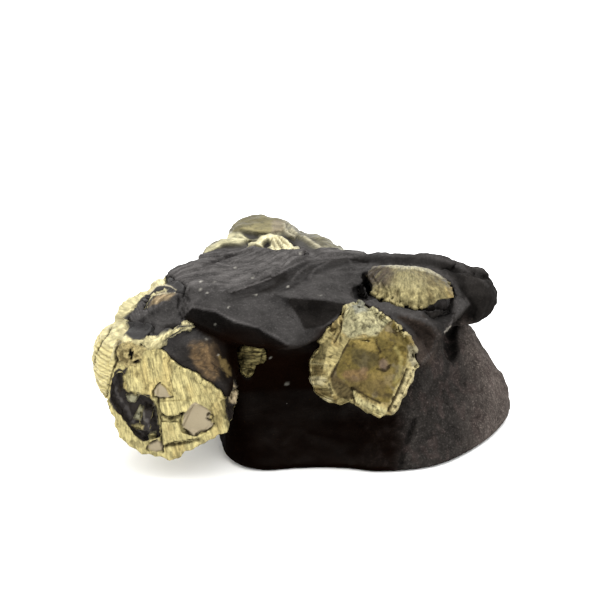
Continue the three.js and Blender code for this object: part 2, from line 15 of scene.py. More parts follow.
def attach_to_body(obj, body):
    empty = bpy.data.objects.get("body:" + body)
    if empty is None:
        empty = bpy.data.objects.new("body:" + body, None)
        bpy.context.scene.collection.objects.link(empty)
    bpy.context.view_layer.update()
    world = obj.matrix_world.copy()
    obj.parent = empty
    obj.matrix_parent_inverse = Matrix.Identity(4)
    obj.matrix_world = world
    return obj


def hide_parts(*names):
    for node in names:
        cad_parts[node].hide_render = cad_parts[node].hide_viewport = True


bl_info = {
    "name": "Pyrite specimen",
    "version": (1, 0, 0),
    "blender": (4, 5, 0),
    "location": "View3D > Sidebar > Specimen",
    "description": "Builds a lump of black shale with its pyrite nodules, and the stage it stands on",
    "category": "Add Mesh",
}

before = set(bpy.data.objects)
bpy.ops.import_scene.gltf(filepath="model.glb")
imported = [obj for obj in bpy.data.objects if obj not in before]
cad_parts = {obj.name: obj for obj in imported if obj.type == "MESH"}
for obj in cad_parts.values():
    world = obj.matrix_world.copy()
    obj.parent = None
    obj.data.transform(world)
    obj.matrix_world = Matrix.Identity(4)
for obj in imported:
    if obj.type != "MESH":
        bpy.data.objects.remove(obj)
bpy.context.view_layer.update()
SHALE = "shale_lump"  # the piece that the nodules sit in

# The camera, which also gives the front view that the shapes below are drawn on
VIEW_ELEVATION = math.radians(24)
VIEW_DISTANCE = 0.45
VIEW_TARGET = np.array([-0.0013, 0.0009, 0.026])
BACK = np.array([0, -math.cos(VIEW_ELEVATION), math.sin(VIEW_ELEVATION)])
RIGHT = np.array([1.0, 0, 0])
UP = np.cross(BACK, RIGHT)
EYE = VIEW_TARGET + BACK * VIEW_DISTANCE
VIEW_LENS, VIEW_SENSOR = 135, 36  # millimetres
LAMP_PLACE, LAMP_SIZE = (0.12, 0.1, 0.75), (1.0, 0.8)
FLOOR_LEVEL = -0.00002  # just below the specimen's foot

# Closing the gap round a nodule, in millimetres
GAP_REACH = 0.75  # a gap up to this wide is closed
GAP_FADE = 1.2  # one this wide or wider is left
GAP_OVERLAP = 0.08

# Folding a surface flat between corners, in millimetres
CORNER_REACH = 0.6  # how far from a corner its own depth is looked for
CORNER_DEPTH = 1.5  # how far behind the foremost point there
FOLD_REACH = 3.5  # the longest move of a point that faces the front
SMALL_FOLD = 0.9  # the longest move of a point that faces away
TURNED_AWAY = -0.6  # how far away that one may face, as a cosine

# Shares of a crevice's width, and of a spot's radius, at which its mark is full and at which it is gone
CREVICE_FULL, CREVICE_GONE = 0.4, 1.4
SPOT_FULL, SPOT_GONE = 0.6, 1.3

# Shapes on the front view, in millimetres to the right of and above the middle of the view.
# On the shale:
FLOW = [
    (-27, -1.4), (-22, 1.4), (-17, 2), (-13.7, 1.8), (-10.3, 2.8), (-7, 4), (-4.3, 5.3), (-1.7, 6.8),
    (1.3, 8.1), (6, 8.5), (12, 8.7),
]
FOLD_LINES = [
    [(-1.6, 4), (0, 5.8), (2, 7.2), (6, 8)], [(1.6, 4.4), (3, 6.2), (5.6, 7.6)],
    [(-15, 4.4), (-10, 4.9), (-5, 6.6)],
]
CAP_EDGE = [(-23.2, -3), (-21.7, -1.2), (-17, -2), (-13.3, -4), (-8.3, -5.4), (-4.7, -7.4), (-2.3, -8.8)]
TOP_GAP = [(10.2, 8.2), (11.8, 7.9), (13.6, 7.5)]
CALM_SIDE = [(11, 0.4), (24, -3), (28, -7), (26.6, -13), (23.6, -13), (22, -8), (18, -3.4), (12, -0.6)]
NOTCH_FILL = [((0.8, 9.2), 0.9)]
COVER_EDGE = [(-35, -3), (-33.8, -4.3), (-31.5, -4.7), (-30.3, -5.2), (-29, -6.1)]
UPPER_FLOW = [(-20.8, 6), (-17, 7.6), (-13.6, 8.8), (-7.6, 9.2)]
ARM_CREST = [(24, 9.2), (28.4, 8.5), (31.2, 7), (33.2, 6), (34.8, 5.2), (36, 4.6), (37.6, 2.8)]
ARM_INNER = [(28.8, 6.4), (29.8, 4.4), (31, 2.9)]
COLLAR = [(17, -1.5), (21, -2.8), (24.2, -3.6), (26.4, -5), (27.6, -7), (26.6, -10), (24.6, -12.6)]
SHALE_RIDGES = [(UPPER_FLOW, 0.5, 2.0), (ARM_CREST, 0.5, 1.3), (ARM_INNER, 0.4, 0.9), (COLLAR, 0.6, 1.6)]
UPPER_CREASE = [(-19, 7), (-15.3, 8.3), (-12.7, 9.3), (-9.6, 10.1)]
# The two facets under the right nodule
SIDE_CORNERS = [
    (24, -2.4, 0.2), (28, -0.6, 0.4), (30.9, 0.4, 0.4), (31.3, 2.8, -0.3), (32.7, 1.2, -0.2),
    (34, -0.9, -0.2), (31, -3.9, 0.8), (30.2, -5.2, 0.4), (28.6, -6.7, 0), (26.5, -4.8, -0.3),
]
SIDE_FACES = [(0, 1, 9), (1, 2, 6), (1, 6, 9), (9, 6, 7), (9, 7, 8), (2, 3, 4), (2, 4, 5), (2, 5, 6)]
FRONT_FACET = [(24, -2.2), (28, -0.4), (30.9, 0.4), (30.5, -4.4), (28.6, -6.7), (26.5, -4.8)]
DIAMOND = [(30.9, 0.4), (31.3, 2.8), (32.7, 1.2), (34, -0.9), (31, -3.9)]
FACET_EDGE = [(31, 2.2), (30.8, -1), (30.5, -4), (29.9, -5.4), (28.6, -6.8)]
DARK_BAND = [(33, 1.4), (34.2, 0.2), (35.6, -2), (34.8, -3.6), (32, -4.2), (31.4, -3.8), (34.2, -0.9)]
NOTCH = [
    (28.8, -7), (30.6, -5.2), (32, -4), (31.2, -6.4), (31.7, -10.2), (31, -12.6), (29.8, -11.6), (29, -10),
]
SLIVER = [(28.7, -6.6), (29.5, -5.9), (30.1, -5.2)]
POCKET = [(10.8, 2.3), (12.7, 3.7), (13.3, 4.7), (13.7, 3.3), (14.6, 1.7), (15, 0.5), (13, 0), (11, 0.4)]
KNOB_GROOVE = [(33.5, 7.2), (33.9, 6), (34.6, 5.4), (36, 4.9), (37, 4.6)]
# The broken facets of the cap: corners, each with how far it stands out, and the faces between them
CAP_CORNERS = [
    (-21.8, -1.5, 0.5), (-23.3, -3.7, 0), (-17, -2.3, 0.6), (-13.3, -4.3, 0.7), (-8.3, -5.7, 0.8),
    (-4.7, -7.7, 0.8), (-2.3, -9.2, 0.4), (-19.7, -5.2, -0.3), (-15.7, -6.9, -0.5), (-11.3, -8.9, -0.3),
    (-6.7, -9.2, -0.2), (-20.4, 2.4, 0), (-17, 1.7, 0.1), (-13, 0.9, 0.2), (-9.3, 1.3, 0), (-5.3, 1.3, 0),
    (-2.7, 0.5, 0.4), (-1.3, -2, 0.5), (1, -6, 0.4), (0.3, -8.8, 0), (4.7, -5.3, 0), (8.3, -2.3, 0),
    (9.7, -0.7, 0), (2, 0.3, 0.5), (5.6, 0, 0.4), (3.2, -2.8, -0.9), (4, -7, 0), (-13.4, 1.9, 0.4),
    (-9.3, 3.2, 0.6), (-5.3, 4.7, 0.6), (-3.7, 6, 0.5), (-0.3, 7.6, 0.3), (-2.7, 3.4, -0.2),
    (0.6, 5.2, -0.2), (3, 7, 0), (-14, 4.2, 0), (-10, 5.6, 0), (-6.6, 7, 0), (-3.6, 8.4, 0), (3.4, 3, 0.1),
    (8.4, 2.2, 0),
]
CAP_FACES = [
    (11, 0, 2), (11, 2, 12), (12, 2, 3), (12, 3, 13), (13, 3, 4), (13, 4, 14), (14, 4, 5), (14, 5, 15),
    (15, 5, 17), (15, 17, 16), (5, 6, 17), (17, 6, 18), (6, 19, 18), (0, 1, 2), (1, 7, 2), (7, 8, 2),
    (2, 8, 3), (3, 8, 9), (3, 9, 4), (9, 10, 4), (4, 10, 5), (10, 6, 5), (16, 17, 23), (17, 25, 23),
    (17, 18, 25), (18, 20, 25), (20, 21, 25), (21, 24, 25), (23, 25, 24), (21, 22, 24), (18, 19, 26),
    (18, 26, 20), (12, 27, 35), (27, 36, 35), (27, 28, 36), (28, 37, 36), (28, 29, 37), (29, 30, 37),
    (30, 38, 37), (30, 31, 38), (12, 13, 27), (13, 14, 27), (27, 14, 28), (14, 15, 28), (28, 15, 29),
    (15, 32, 29), (15, 16, 32), (29, 32, 30), (32, 33, 30), (30, 33, 31), (33, 34, 31), (16, 23, 32),
    (23, 33, 32), (23, 39, 33), (23, 24, 39), (24, 40, 39), (24, 22, 40),
]
SCARP = [
    (-16.7, 1.8), (-13.4, 1.9), (-11.3, 2.3), (-9.3, 2.9), (-6.7, 3.8), (-3.3, 5.5), (0, 7.3), (6, 8.3),
    (10, 8.4), (10, 7), (6, 6.3), (2.7, 5), (0, 3.3), (-2.3, 1.8), (-5, 1.5), (-9.3, 1.4), (-13, 1),
]
CAP_UNDER = [
    (-23.4, -3.6), (-21.8, -1.6), (-17, -2.4), (-13.3, -4.4), (-8.3, -5.8), (-4.7, -7.8), (-2.2, -9.4),
    (-7, -10.4), (-12, -10), (-20, -6),
]
CAP_LIT = [
    (-21.4, -1.2), (-20.4, 2), (-17, 1.6), (-9.3, 1.2), (-2.8, 0.4), (-1.4, -2), (1, -6), (4.4, -5.4),
    (3.6, -7.2), (0.4, -9.2), (-2.2, -9), (-4.7, -7.5), (-8.3, -5.5), (-13.3, -4.1), (-17, -2.1),
]
FOOT = [(9, -24), (17, -24), (21, -16), (27, -7), (34, -4), (46, -20), (40, -36), (10, -37), (14, -30)]
FOOT_RIM = [(33.6, -4), (36, -10), (41, -19), (42.6, -21), (40, -19), (36, -14), (32.6, -8)]
ARM = [
    (27, 7.4), (30, 7.4), (33, 6.4), (37.6, 5), (42, 2), (40, -5), (33.2, -4.6), (34.2, -0.8), (31.4, 2.8),
    (28.8, 5.6),
]
UNDER_CREST = [(11, 7.9), (17, 8), (22, 7.9), (26, 7.6), (29, 6.9), (31, 5.6), (32.3, 4), (32.8, 1)]
# Flow lines round the left end of the cap
BEAK = [(-24.3, 2), (-24.4, -1.1), (-23.5, -3.6), (-21.6, -1.4), (-20, 0.4), (-20.6, 2.6), (-23, 3.2)]
BEAK_LINES = [
    [(-23.9, 2.2), (-24.1, 0.6), (-23.8, -1.2), (-23.1, -2.8)],
    [(-23, 2.4), (-23.4, 0.8), (-23, -0.8), (-22.4, -2)], [(-22, 2.2), (-22.6, 0.9), (-22.1, -0.4)],
]
DUST = [
    ((-2.6, -16.8), 0.32), ((-18.6, 1.4), 0.18), ((-10.6, 4.4), 0.18), ((-9, 1), 0.18), ((-20, 2), 0.15),
    ((3.6, 1), 0.2), ((27, -1.8), 0.22), ((-18.8, -7.8), 0.2), ((-16.4, -11), 0.18), ((-6, -11.6), 0.2),
    ((-12.8, 6.4), 0.2), ((-9.4, 4.4), 0.17), ((-8.7, 1), 0.17), ((-14.4, -1.4), 0.2), ((-17, 3.7), 0.17),
    ((-19.8, 3.7), 0.17), ((-19.9, 2), 0.2), ((-2.4, 2.7), 0.17), ((4.1, 1), 0.17), ((-16.9, -5), 0.2),
    ((0, 9.4), 0.17), ((-12.3, 6.5), 0.17),
]
DARK_FACET = [(-2.7, 0.4), (2, 0.2), (9.7, -0.8), (8.3, -2.4), (4.7, -5.3), (1, -6), (-1.3, -2)]
CAP_CRACK = [(-25, 2.7), (-23.6, 2.6), (-24.3, 0.8), (-24.5, -1.1), (-23.7, -3.4), (-23.3, -4.4)]
FOOT_CRACK = [(23, -24), (21.5, -28), (20, -33.6)]
RUST = [(-21.4, -8.2), (-18.4, -7.8), (-16.8, -10.4), (-16.2, -15.4), (-18.8, -15.6), (-21, -13)]
FLANK_RUST = [(-16.4, -11), (-15, -12), (-13.6, -14.6), (-14.4, -15.4), (-16, -13)]
RECESS = [
    (-22, -4.6), (-12, -7), (-2, -9.8), (2, -9.4), (4.4, -6), (8, -10), (9, -22), (19.6, -23), (20.4, -28),
    (19.4, -35.6), (-9, -36), (-17, -31), (-16.6, -24), (-14.2, -17), (-16, -10), (-21, -6),
]
# On the left nodule:
BROKEN_FACE = [
    (-31.3, -10), (-29.7, -9.6), (-28, -10.1), (-26.3, -11.5), (-24.8, -12.8), (-23, -14.1), (-20.3, -15.8),
    (-17.7, -16.8), (-16.2, -17.5), (-15.4, -19.6), (-15.1, -22.3), (-13.8, -26), (-14, -28), (-18, -29),
    (-24, -33), (-32, -32), (-36, -27.4), (-38.4, -22), (-39, -17.3), (-37.3, -13.7), (-35.4, -13),
    (-33, -13.4), (-31.8, -12),
]
FLANK = [
    (-17, -16.4), (-16, -17.7), (-15.2, -19.7), (-14.9, -22.3), (-13.8, -26), (-14, -28.4), (-7, -28.4),
    (-7, -9), (-17, -9),
]
FLAKES = [
    [(-15, -15.4), (-13.6, -15.6), (-13.4, -17.4), (-14.8, -17.2)],
    [(-14.2, -17.8), (-12.6, -17.6), (-12.2, -19.4), (-13, -20.8), (-14.2, -20.4)],
]
HOLLOW = [
    (-36.3, -14), (-34.5, -13.6), (-35.4, -15.3), (-35.2, -17), (-34.6, -18.3), (-32, -18.7), (-30, -19.2),
    (-29.2, -20.7), (-28.5, -22.7), (-28.2, -25), (-27.9, -27), (-28.8, -27.4), (-29.8, -26.4),
    (-30.2, -27.8), (-31.4, -28.2), (-33, -27), (-34.3, -24.8), (-36.3, -22.8), (-38, -20.7), (-38.1, -18.6),
    (-37.5, -16.2), (-37.3, -14.6),
]
FLAT_UP = [(-29.4, -18.4), (-28, -16.8), (-26.8, -17.6), (-26.2, -19), (-25.4, -19.4), (-28.4, -19.6)]
FLAT_BIG = [
    (-23.6, -25), (-23.2, -23), (-21.8, -21), (-21, -20.4), (-19, -21.4), (-17.8, -22.4), (-18.2, -24),
    (-17.2, -24.8), (-18.4, -26), (-20, -26.2), (-21.2, -27), (-22.6, -26.2),
]
FLAT_LOW = [
    (-30.4, -29.4), (-29.6, -28.4), (-28.4, -28), (-27.6, -28.8), (-27.4, -30), (-28.8, -30.4), (-30, -30),
]
GRANULAR = [
    (-36.4, -8), (-30, -8.4), (-29.6, -10.4), (-32, -12.4), (-33.2, -14.8), (-34.4, -14.4), (-36.4, -14),
    (-36.8, -11),
]
LOBE = [
    (-35, 0), (-37.6, -3.6), (-39.4, -6), (-42, -8), (-43, -10.4), (-43.4, -13.6), (-42.6, -17.6),
    (-41, -21.8), (-37.6, -23.8), (-38.4, -19.6), (-37.8, -16.8), (-37.6, -14.4), (-36.8, -11.2),
    (-36.4, -8.6), (-37.6, -6), (-36.4, -2),
]
BLACK_SKIN = [
    (-35.1, -7.1), (-34.2, -5.8), (-34.1, -4.6), (-34.9, -4), (-32.7, -2), (-31.6, -0.6), (-30.4, 0.9),
    (-29.5, 1.8), (-28.7, 2.6), (-27.3, 3), (-26.6, 3.4), (-26.2, 4.4), (-26.2, 8), (-20.6, 8), (-20, -5),
    (-22.1, -5.1), (-25, -5.4), (-27.3, -6.9), (-29.6, -7.7), (-31.6, -8), (-33.3, -8),
]
ARCH = [(-30.3, -1.5), (-29.8, -0.3), (-28.7, 0.9), (-27.3, 1.35), (-25.1, 1.25)]
ARCH_PATCH = [
    (-30.4, -1.7), (-29.9, -0.2), (-28.7, 1.1), (-27.3, 1.5), (-25, 1.4), (-25.9, 0.7), (-26.4, 0.1),
    (-27.3, 0), (-28.4, -0.6), (-29.6, -1.1),
]
OUTER_ARCH = [(-30.3, 1), (-29.6, 1.8), (-28.7, 2.75), (-27.3, 3.1), (-25.9, 2.7), (-24.8, 2)]
UPPER_HOLE = [(-26.9, 4.7), (-26, 5), (-25.9, 3.8), (-26.8, 3.3)]
VEIN = [
    (-34.4, -7.6), (-33.3, -8.1), (-31.6, -8.1), (-29.6, -7.8), (-27.3, -7), (-25, -5.5), (-22.4, -5.1),
    (-21.6, -5.3), (-22.4, -5.7), (-24.1, -6.3), (-25.6, -7.2), (-27.6, -8.4), (-29, -9.4), (-30.4, -10),
    (-31.6, -9), (-33.4, -8.6),
]
VEIN_TUBE = [(-31, -8.8), (-29, -8.4), (-27, -7.4), (-25, -6.3), (-23, -5.4), (-20.4, -5.2)]
BAND_SPACING = 0.75
SLATE_STREAKS = [
    [(-37.4, -15.6), (-36.8, -18.4), (-35.4, -20.6)], [(-35.8, -19.6), (-34.4, -22), (-33, -24.4)],
    [(-30.6, -24), (-30, -26.4), (-29, -28)], [(-33.4, -24.4), (-31.6, -27)],
]
LATHS = [
    [(-32, -21), (-31.2, -21.3), (-31.8, -24), (-33.3, -23.7)],
    [(-34.7, -18.8), (-32, -18.8), (-33, -20.4), (-34.2, -20.1)],
    [(-30, -26.6), (-28.8, -26.2), (-28.8, -27.4), (-30.2, -27.6)],
]
CURL = [(-33.8, -25), (-32.4, -24.7), (-31.2, -25.2), (-31.4, -25.9), (-32.8, -25.7)]
LEFT_CREVICES = [
    ([(-28.4, -19.6), (-28.2, -22.4), (-28, -25), (-27.8, -28), (-27.4, -30.4)], 0.2, 0.4),
    ([(-28, -22.8), (-27, -23.4), (-25.6, -23.6), (-24.2, -23.4), (-23.2, -22.8)], 0.28, 0.6),
    ([(-26.8, -29.2), (-24.8, -28.7), (-22, -28.3), (-20.4, -28)], 0.34, 0.6),
    ([(-24, -23), (-23.8, -24.8), (-22.8, -26.2), (-21.2, -27.2), (-19.8, -26.2), (-18.4, -26),
     (-17.4, -25)], 0.24, 0.5),
    ([(-28, -16.6), (-29.4, -18.2), (-29.4, -19.4), (-27.2, -19.6), (-25.4, -19.4)], 0.2, 0.4),
    ([(-28.8, -28.2), (-30.2, -28.8), (-30.6, -30), (-30, -30.4)], 0.22, 0.4),
    ([(-37.6, -5.2), (-38.6, -7), (-39.8, -8.6), (-40.6, -10.4), (-41.2, -12.4), (-41.8, -14.4)], 0.16, 0.4),
    ([(-36.4, -8.6), (-37, -10.4), (-36.6, -12.4), (-37.6, -14.4), (-38.2, -16.8),
     (-38.6, -19.2)], 0.2, 0.35),
    ([(-18.6, -23.1), (-18.2, -22.7), (-17.6, -23), (-17.5, -23.6), (-18, -24.1),
     (-18.6, -23.7)], 0.14, 0.25),
]
# On the middle nodule:
MIDDLE_AROUND = 22  # how many of the corners go round its outside
MIDDLE_CORNERS = [
    (10.3, -0.9, 0), (13.2, -0.8, 0), (16.5, -3, 0.1), (18.3, -4.5, 0.2), (21.3, -5.9, 0.1), (22.6, -8, 0),
    (23.8, -11.7, 0), (23.2, -14, 0.1), (19.9, -20.7, 0.2), (18.6, -22.7, 0), (17.4, -22.2, 0),
    (16.6, -23.4, 0), (12.4, -21.6, 0.1), (10.4, -20.2, 0), (7.6, -21, 0), (2.7, -18.4, 0), (1.8, -13.8, 0),
    (2, -12.2, 0), (3.9, -8.4, 0), (4.9, -5.9, 0), (6.4, -4.7, 0.2), (8.3, -4.6, -0.2), (8.3, -7.4, -0.1),
    (10, -7.8, -0.2), (15.2, -7.2, -0.1), (7.6, -12.6, -0.1), (6.4, -15.6, -0.3), (10.3, -17.8, -0.4),
    (13, -19.6, -0.2), (17.6, -20.6, -0.2), (19.4, -17, -0.3), (21.2, -12.4, -0.2), (21.6, -9.4, -0.1),
    (15.6, -11.4, -0.7), (12, -10.6, -0.5), (13, -14.5, -0.5), (5.6, -9.6, 0.3), (4.6, -14.6, 0.5),
    (12.6, -4.4, 0.3), (16.4, -18, 0.1), (17.6, -12.6, -0.2),
]
MIDDLE_CREASES = [
    (21, 22), (22, 23), (23, 24), (24, 3), (23, 25), (25, 26), (26, 27), (27, 28), (28, 29), (29, 30),
    (30, 31), (31, 32), (32, 4), (27, 13), (29, 10), (24, 33), (34, 33), (25, 35), (23, 34), (36, 25),
    (37, 26),
]
BROWN_FACE = [
    (10, -7.8), (15.2, -7.2), (18, -4.3), (21.2, -7), (22, -10), (21.3, -12.4), (20, -16), (18.7, -18),
    (18, -20.6), (16, -20.6), (12.7, -19.3), (10.3, -17.8), (6.7, -16), (6.3, -14.3), (7.6, -12.4),
]
GOLD_FACET = [(10.3, -8.2), (14.6, -7.3), (15.3, -10.7), (11.7, -9.7)]
DARK_SPOT = [(10.3, -10), (12.4, -9.6), (15.6, -10.8), (16.2, -13), (13.6, -14), (10.6, -12.8)]
LOW_FACE = [(9, -15.6), (17, -16), (17.6, -19.6), (12.8, -18.6), (10, -17.4)]
BUMP_SPOT = [(15.6, -12.2), (16.6, -11.6), (17.8, -12.8), (17, -14), (15.8, -13.6)]
ARC = [(19.2, -9.6), (20.2, -12), (20, -14.4), (19, -16.4)]
RED_PATCH = [(9.6, -13.8), (13.4, -13.6), (13.4, -16), (10.4, -16.6), (8, -15)]
GOLD_PATCH = [(13.4, -14.6), (18.6, -14), (18.6, -17.4), (15, -17.6)]
BROWN_LOW = [(6.2, -14), (10.3, -17.6), (10.4, -20), (8, -19.6), (6, -17)]
RIM_TOP = [
    (9.8, -0.6), (13.4, -0.4), (16, -2.6), (18, -4), (16.7, -6), (15.3, -7.3), (12.7, -7), (10, -7.7),
    (8.3, -6.4), (8.6, -3.6),
]
ORANGE_RIM = [(18, -4), (21.3, -5.8), (22.7, -9.3), (21.3, -9.7), (18.7, -7)]
BLUE_EDGE = [(21.6, -9), (23, -9.6), (23.6, -12), (22.6, -13.4), (21.8, -12)]
SHOULDER = [(15.4, -2.2), (17, -3.2), (18.8, -4.4), (20.8, -6), (22.4, -7.8), (23, -9.2)]
BLUE_TOP = [(10, -0.6), (13.2, -0.6), (14, -2.2), (11, -2.8)]
LOW_BLOCKS = [(10.4, -17.8), (11, -20.3), (16.6, -23.5), (17.4, -22.2), (14.7, -20.7), (11.4, -19.3)]
RIGHT_BAND = [
    (18, -22), (18.7, -23.2), (20, -21), (23.7, -14), (24.4, -11.7), (23, -11.6), (21.7, -14), (20, -17.3),
    (18.7, -20.3),
]
MIDDLE_PATCHES = [
    (GOLD_FACET, 0.7, (0.28, 0.21, 0.065)), (DARK_SPOT, 0.7, (0.06, 0.048, 0.02)),
    (RED_PATCH, 0.6, (0.13, 0.075, 0.04)), (GOLD_PATCH, 0.5, (0.18, 0.13, 0.045)),
    (BROWN_LOW, 0.9, (0.055, 0.039, 0.017)), (BUMP_SPOT, 0.8, (0.13, 0.09, 0.065)),
    (LOW_BLOCKS, 0.85, (0.46, 0.41, 0.21)), (RIGHT_BAND, 0.85, (0.5, 0.43, 0.23)),
    (LOW_FACE, 0.5, (0.07, 0.05, 0.022)), (BLUE_EDGE, 0.5, (0.2, 0.19, 0.16)),
    (BLUE_TOP, 0.7, (0.13, 0.135, 0.12)),
]
FLANK_LINES = [(1, -12.6), (5.4, -13), (5.6, -18), (8, -21.6), (2, -20)]
MIDDLE_CREVICES = [
    ([(10, -7.8), (7.7, -12.4), (6.4, -15.4)], 0.16, 0.2), ([(8.2, -4.2), (8, -6.2), (6.8, -8.4)], 0.2, 0.4),
    ([(10.3, -17.8), (10.2, -19), (10.8, -20.6)], 0.26, 0.6),
    ([(17.6, -22.4), (18.6, -20.4), (20.2, -17), (21.4, -14)], 0.24, 0.4),
    ([(15.2, -7.3), (15.4, -9), (16.2, -10.6)], 0.12, 0.2),
    ([(10.4, -17.6), (12.6, -18.8), (16, -20.6)], 0.2, 0.3),
    ([(15.4, -13.8), (17.2, -14.2), (18, -13)], 0.2, 0.3),
]
# On the right nodule:
RIGHT_OUTLINE = [
    (13.5, 7.4), (18.7, 7.8), (24, 7.4), (27.7, 6), (29, 4.5), (30.8, 2), (30.9, 0.6), (28.3, 0.2),
    (26.7, -0.8), (24.7, -1.9), (21.3, -1.4), (19.7, -1.4), (16.7, 0.2), (14.7, 0.6), (14.3, 2.7),
    (13.4, 4.7),
]
RIGHT_HOOKS = [
    [(14.6, 4.6), (15.6, 3), (15.4, 1.2)], [(16.2, 3.4), (17.2, 1.8), (16.8, 0)],
    [(17.8, 2.4), (18.4, 0.4), (18, -1)], [(19.6, 1.6), (20, -0.4), (19.4, -1.8)],
    [(21.6, 0.8), (21.8, -1), (21.4, -2)], [(23.8, 0.6), (24, -1), (23.6, -2.2)],
    [(26, 0.6), (26.2, -0.8), (25.8, -1.8)], [(28, 1.2), (28.4, -0.2), (28, -1)],
]
BLUE_SHEEN = [(12.6, 8), (18, 7.4), (18.8, 4.8), (17.6, 2.4), (14.8, 1.6), (12.8, 4)]
PALE_HEART = [(18.4, 5.6), (22, 6.4), (24.4, 4), (25.2, 0.8), (23, -1.2), (19.6, -1), (18.6, 1.6)]
ORANGE_SPOT = [(28.8, 2.4), (30.4, 2.8), (30.8, 0.6), (29.6, 0)]
RIGHT_GLEAM = [(17, 7.2), (19, 6.7), (23, 6.5), (27.4, 5.4), (28.6, 4.6)]
# On the back cluster:
BACK_MIDDLE = (-5.0, 11.0, 24.0)
BACK_CAP = [
    (-13.5, 14.3), (-12.4, 15.7), (-11, 16.8), (-8.7, 17.1), (-7, 16.7), (-5.6, 16.1), (-3.9, 16),
    (-2.6, 15.2), (-3, 14), (-4.1, 13.5), (-5.9, 13.2), (-8.4, 13.2), (-10.1, 13.6), (-11.6, 13.6),
    (-13, 13.4),
]
BACK_BROW = [(-5.8, 13.2), (-5.4, 16), (-3.9, 16), (-2.6, 15.2), (-3, 14), (-4.1, 13.5)]
BACK_LEFT = [
    (-19.4, 9), (-18.6, 10.5), (-16.7, 11.5), (-15, 12.7), (-13.8, 13.6), (-12.2, 13.4), (-11.3, 12.9),
    (-9.6, 11.9), (-12.4, 11.2), (-15.2, 11), (-17.2, 9.9), (-18.2, 9),
]
UNDER_BROW = [(-11.8, 13.6), (-10.1, 13.6), (-8.2, 13.2), (-8.2, 12.5), (-9.2, 11.9), (-10.6, 12.5)]
SLATE_LEFT = [
    (-18.4, 9), (-15.3, 11), (-12.4, 11.2), (-9.6, 11.8), (-8.8, 11.8), (-9.4, 10.8), (-10.3, 9.8), (-12, 8),
]
FAN = [
    (-10.5, 9.8), (-9.6, 10.8), (-8.4, 11.6), (-7.6, 12.5), (-6.1, 13), (-4.7, 12.7), (-3.3, 12), (-1.9, 11),
    (-0.4, 9.6), (-1, 8.6), (-9, 8.6),
]
FAN_GAP = [(-6.5, 11.9), (-7.2, 11.2), (-8.2, 9.6), (-8.4, 8.6), (-5.8, 8.6), (-5.9, 10.2), (-6, 11.4)]
FAN_LINES = [
    [(-5.7, 12), (-5.1, 10.4), (-4.4, 9)], [(-5, 12), (-4, 10.6), (-3, 9.4)],
    [(-4.4, 12.2), (-2.8, 10.9), (-1.6, 9.8)],
]
SLATE_RIGHT = [
    (-3.9, 13), (-2.4, 13.3), (-0.4, 12.6), (1.4, 11.6), (3.4, 10.4), (5.4, 9.2), (-0.2, 9.4), (-1.8, 11.2),
]
BLACK_SLIT = [(-2.1, 11.5), (-0.9, 10.9), (0.1, 10.3)]
BACK_RIBS = [
    [(0.8, 12.4), (2.7, 11.3), (4.7, 10), (5.8, 9.2)], [(-3.3, 14.6), (-2.6, 13.4), (-1.2, 12.4)],
    [(-1.8, 14), (-0.8, 12.9)],
]
BACK_EDGE = [(-0.4, 13.8), (2.7, 13), (4.1, 12.1), (5.4, 11), (4.4, 10.6), (2.4, 11.9), (0.2, 12.8)]
BACK_TIP = [(6.6, 8.8), (7, 10.4), (9, 10.8), (10.6, 10), (11, 8.6)]


# Measures and noise. Lengths here are in millimetres.


def ease(low, high, value):
    """A smooth rise from 0 at low to 1 at high."""
    share = np.clip((value - low) / (high - low), 0, 1)
    return share * share * (3 - 2 * share)


def lattice(cell, seed):
    """A fixed random number from 0 to 1 for each whole-number cell."""
    mixed = cell[:, 0] * 374761393 + cell[:, 1] * 668265263 + cell[:, 2] * 1442695041 + seed * 974634777
    mixed = (mixed ^ (mixed >> 13)) * 1274126177
    return ((mixed ^ (mixed >> 16)) & 0xFFFF) / 65535.0


def smooth_noise(points, spacing, seed):
    """Noise from -1 to 1 that swells about once every spacing."""
    scaled = points / np.asarray(spacing, float)
    cell = np.floor(scaled).astype(np.int64)
    share = scaled - cell
    share = share * share * (3 - 2 * share)
    total = np.zeros(len(points))
    for corner in itertools.product((0, 1), repeat=3):
        weight = np.prod(np.where(corner, share, 1 - share), axis=1)
        total += weight * lattice(cell + np.array(corner), seed)
    return total * 2 - 1


def rough_noise(points, spacing, seed, octaves=3):
    """Several sizes of smooth noise, each half as wide and half as strong as the one before."""
    spacing = np.asarray(spacing, float)
    layers = [smooth_noise(points, spacing / 2**i, seed + i) / 2**i for i in range(octaves)]
    return sum(layers)


def facets(points, spacing, seed, sharpness=6.0):
    """Flat cells tilted at random, as on rock that breaks in flakes. About -1 to 1."""
    scaled = points / spacing
    cell = np.floor(scaled).astype(np.int64)
    total = np.zeros(len(points))
    weights = np.zeros(len(points))
    for corner in itertools.product((-1, 0, 1), repeat=3):
        near = cell + np.array(corner)
        seeds = near + np.stack([lattice(near, seed + axis) for axis in range(3)], axis=1)
        tilt = np.stack([lattice(near, seed + 3 + axis) - 0.5 for axis in range(3)], axis=1)
        away = scaled - seeds
        weight = np.exp(-sharpness * np.sum(away * away, axis=1))
        total += weight * 2 * np.sum(away * tilt, axis=1)
        weights += weight
    return total / np.maximum(weights, 1e-12)


def ledges(points, spacing, seed, octaves=3):
    """The sharp edges of thin beds, from -1 or less up to 0.4."""
    return 0.4 - np.abs(rough_noise(points, spacing, seed, octaves))


def blotches(points, low, high, spacing, seed, octaves=3):
    """Patches of rough noise: 0 where it is at low, and 1 where it is at high."""
    return ease(low, high, rough_noise(points, spacing, seed, octaves))


def strands(width, *coordinates):
    """Coordinates for fibres: each is given with how many widths it is stretched."""
    return np.stack([values / width / stretch for values, stretch in coordinates], axis=1)


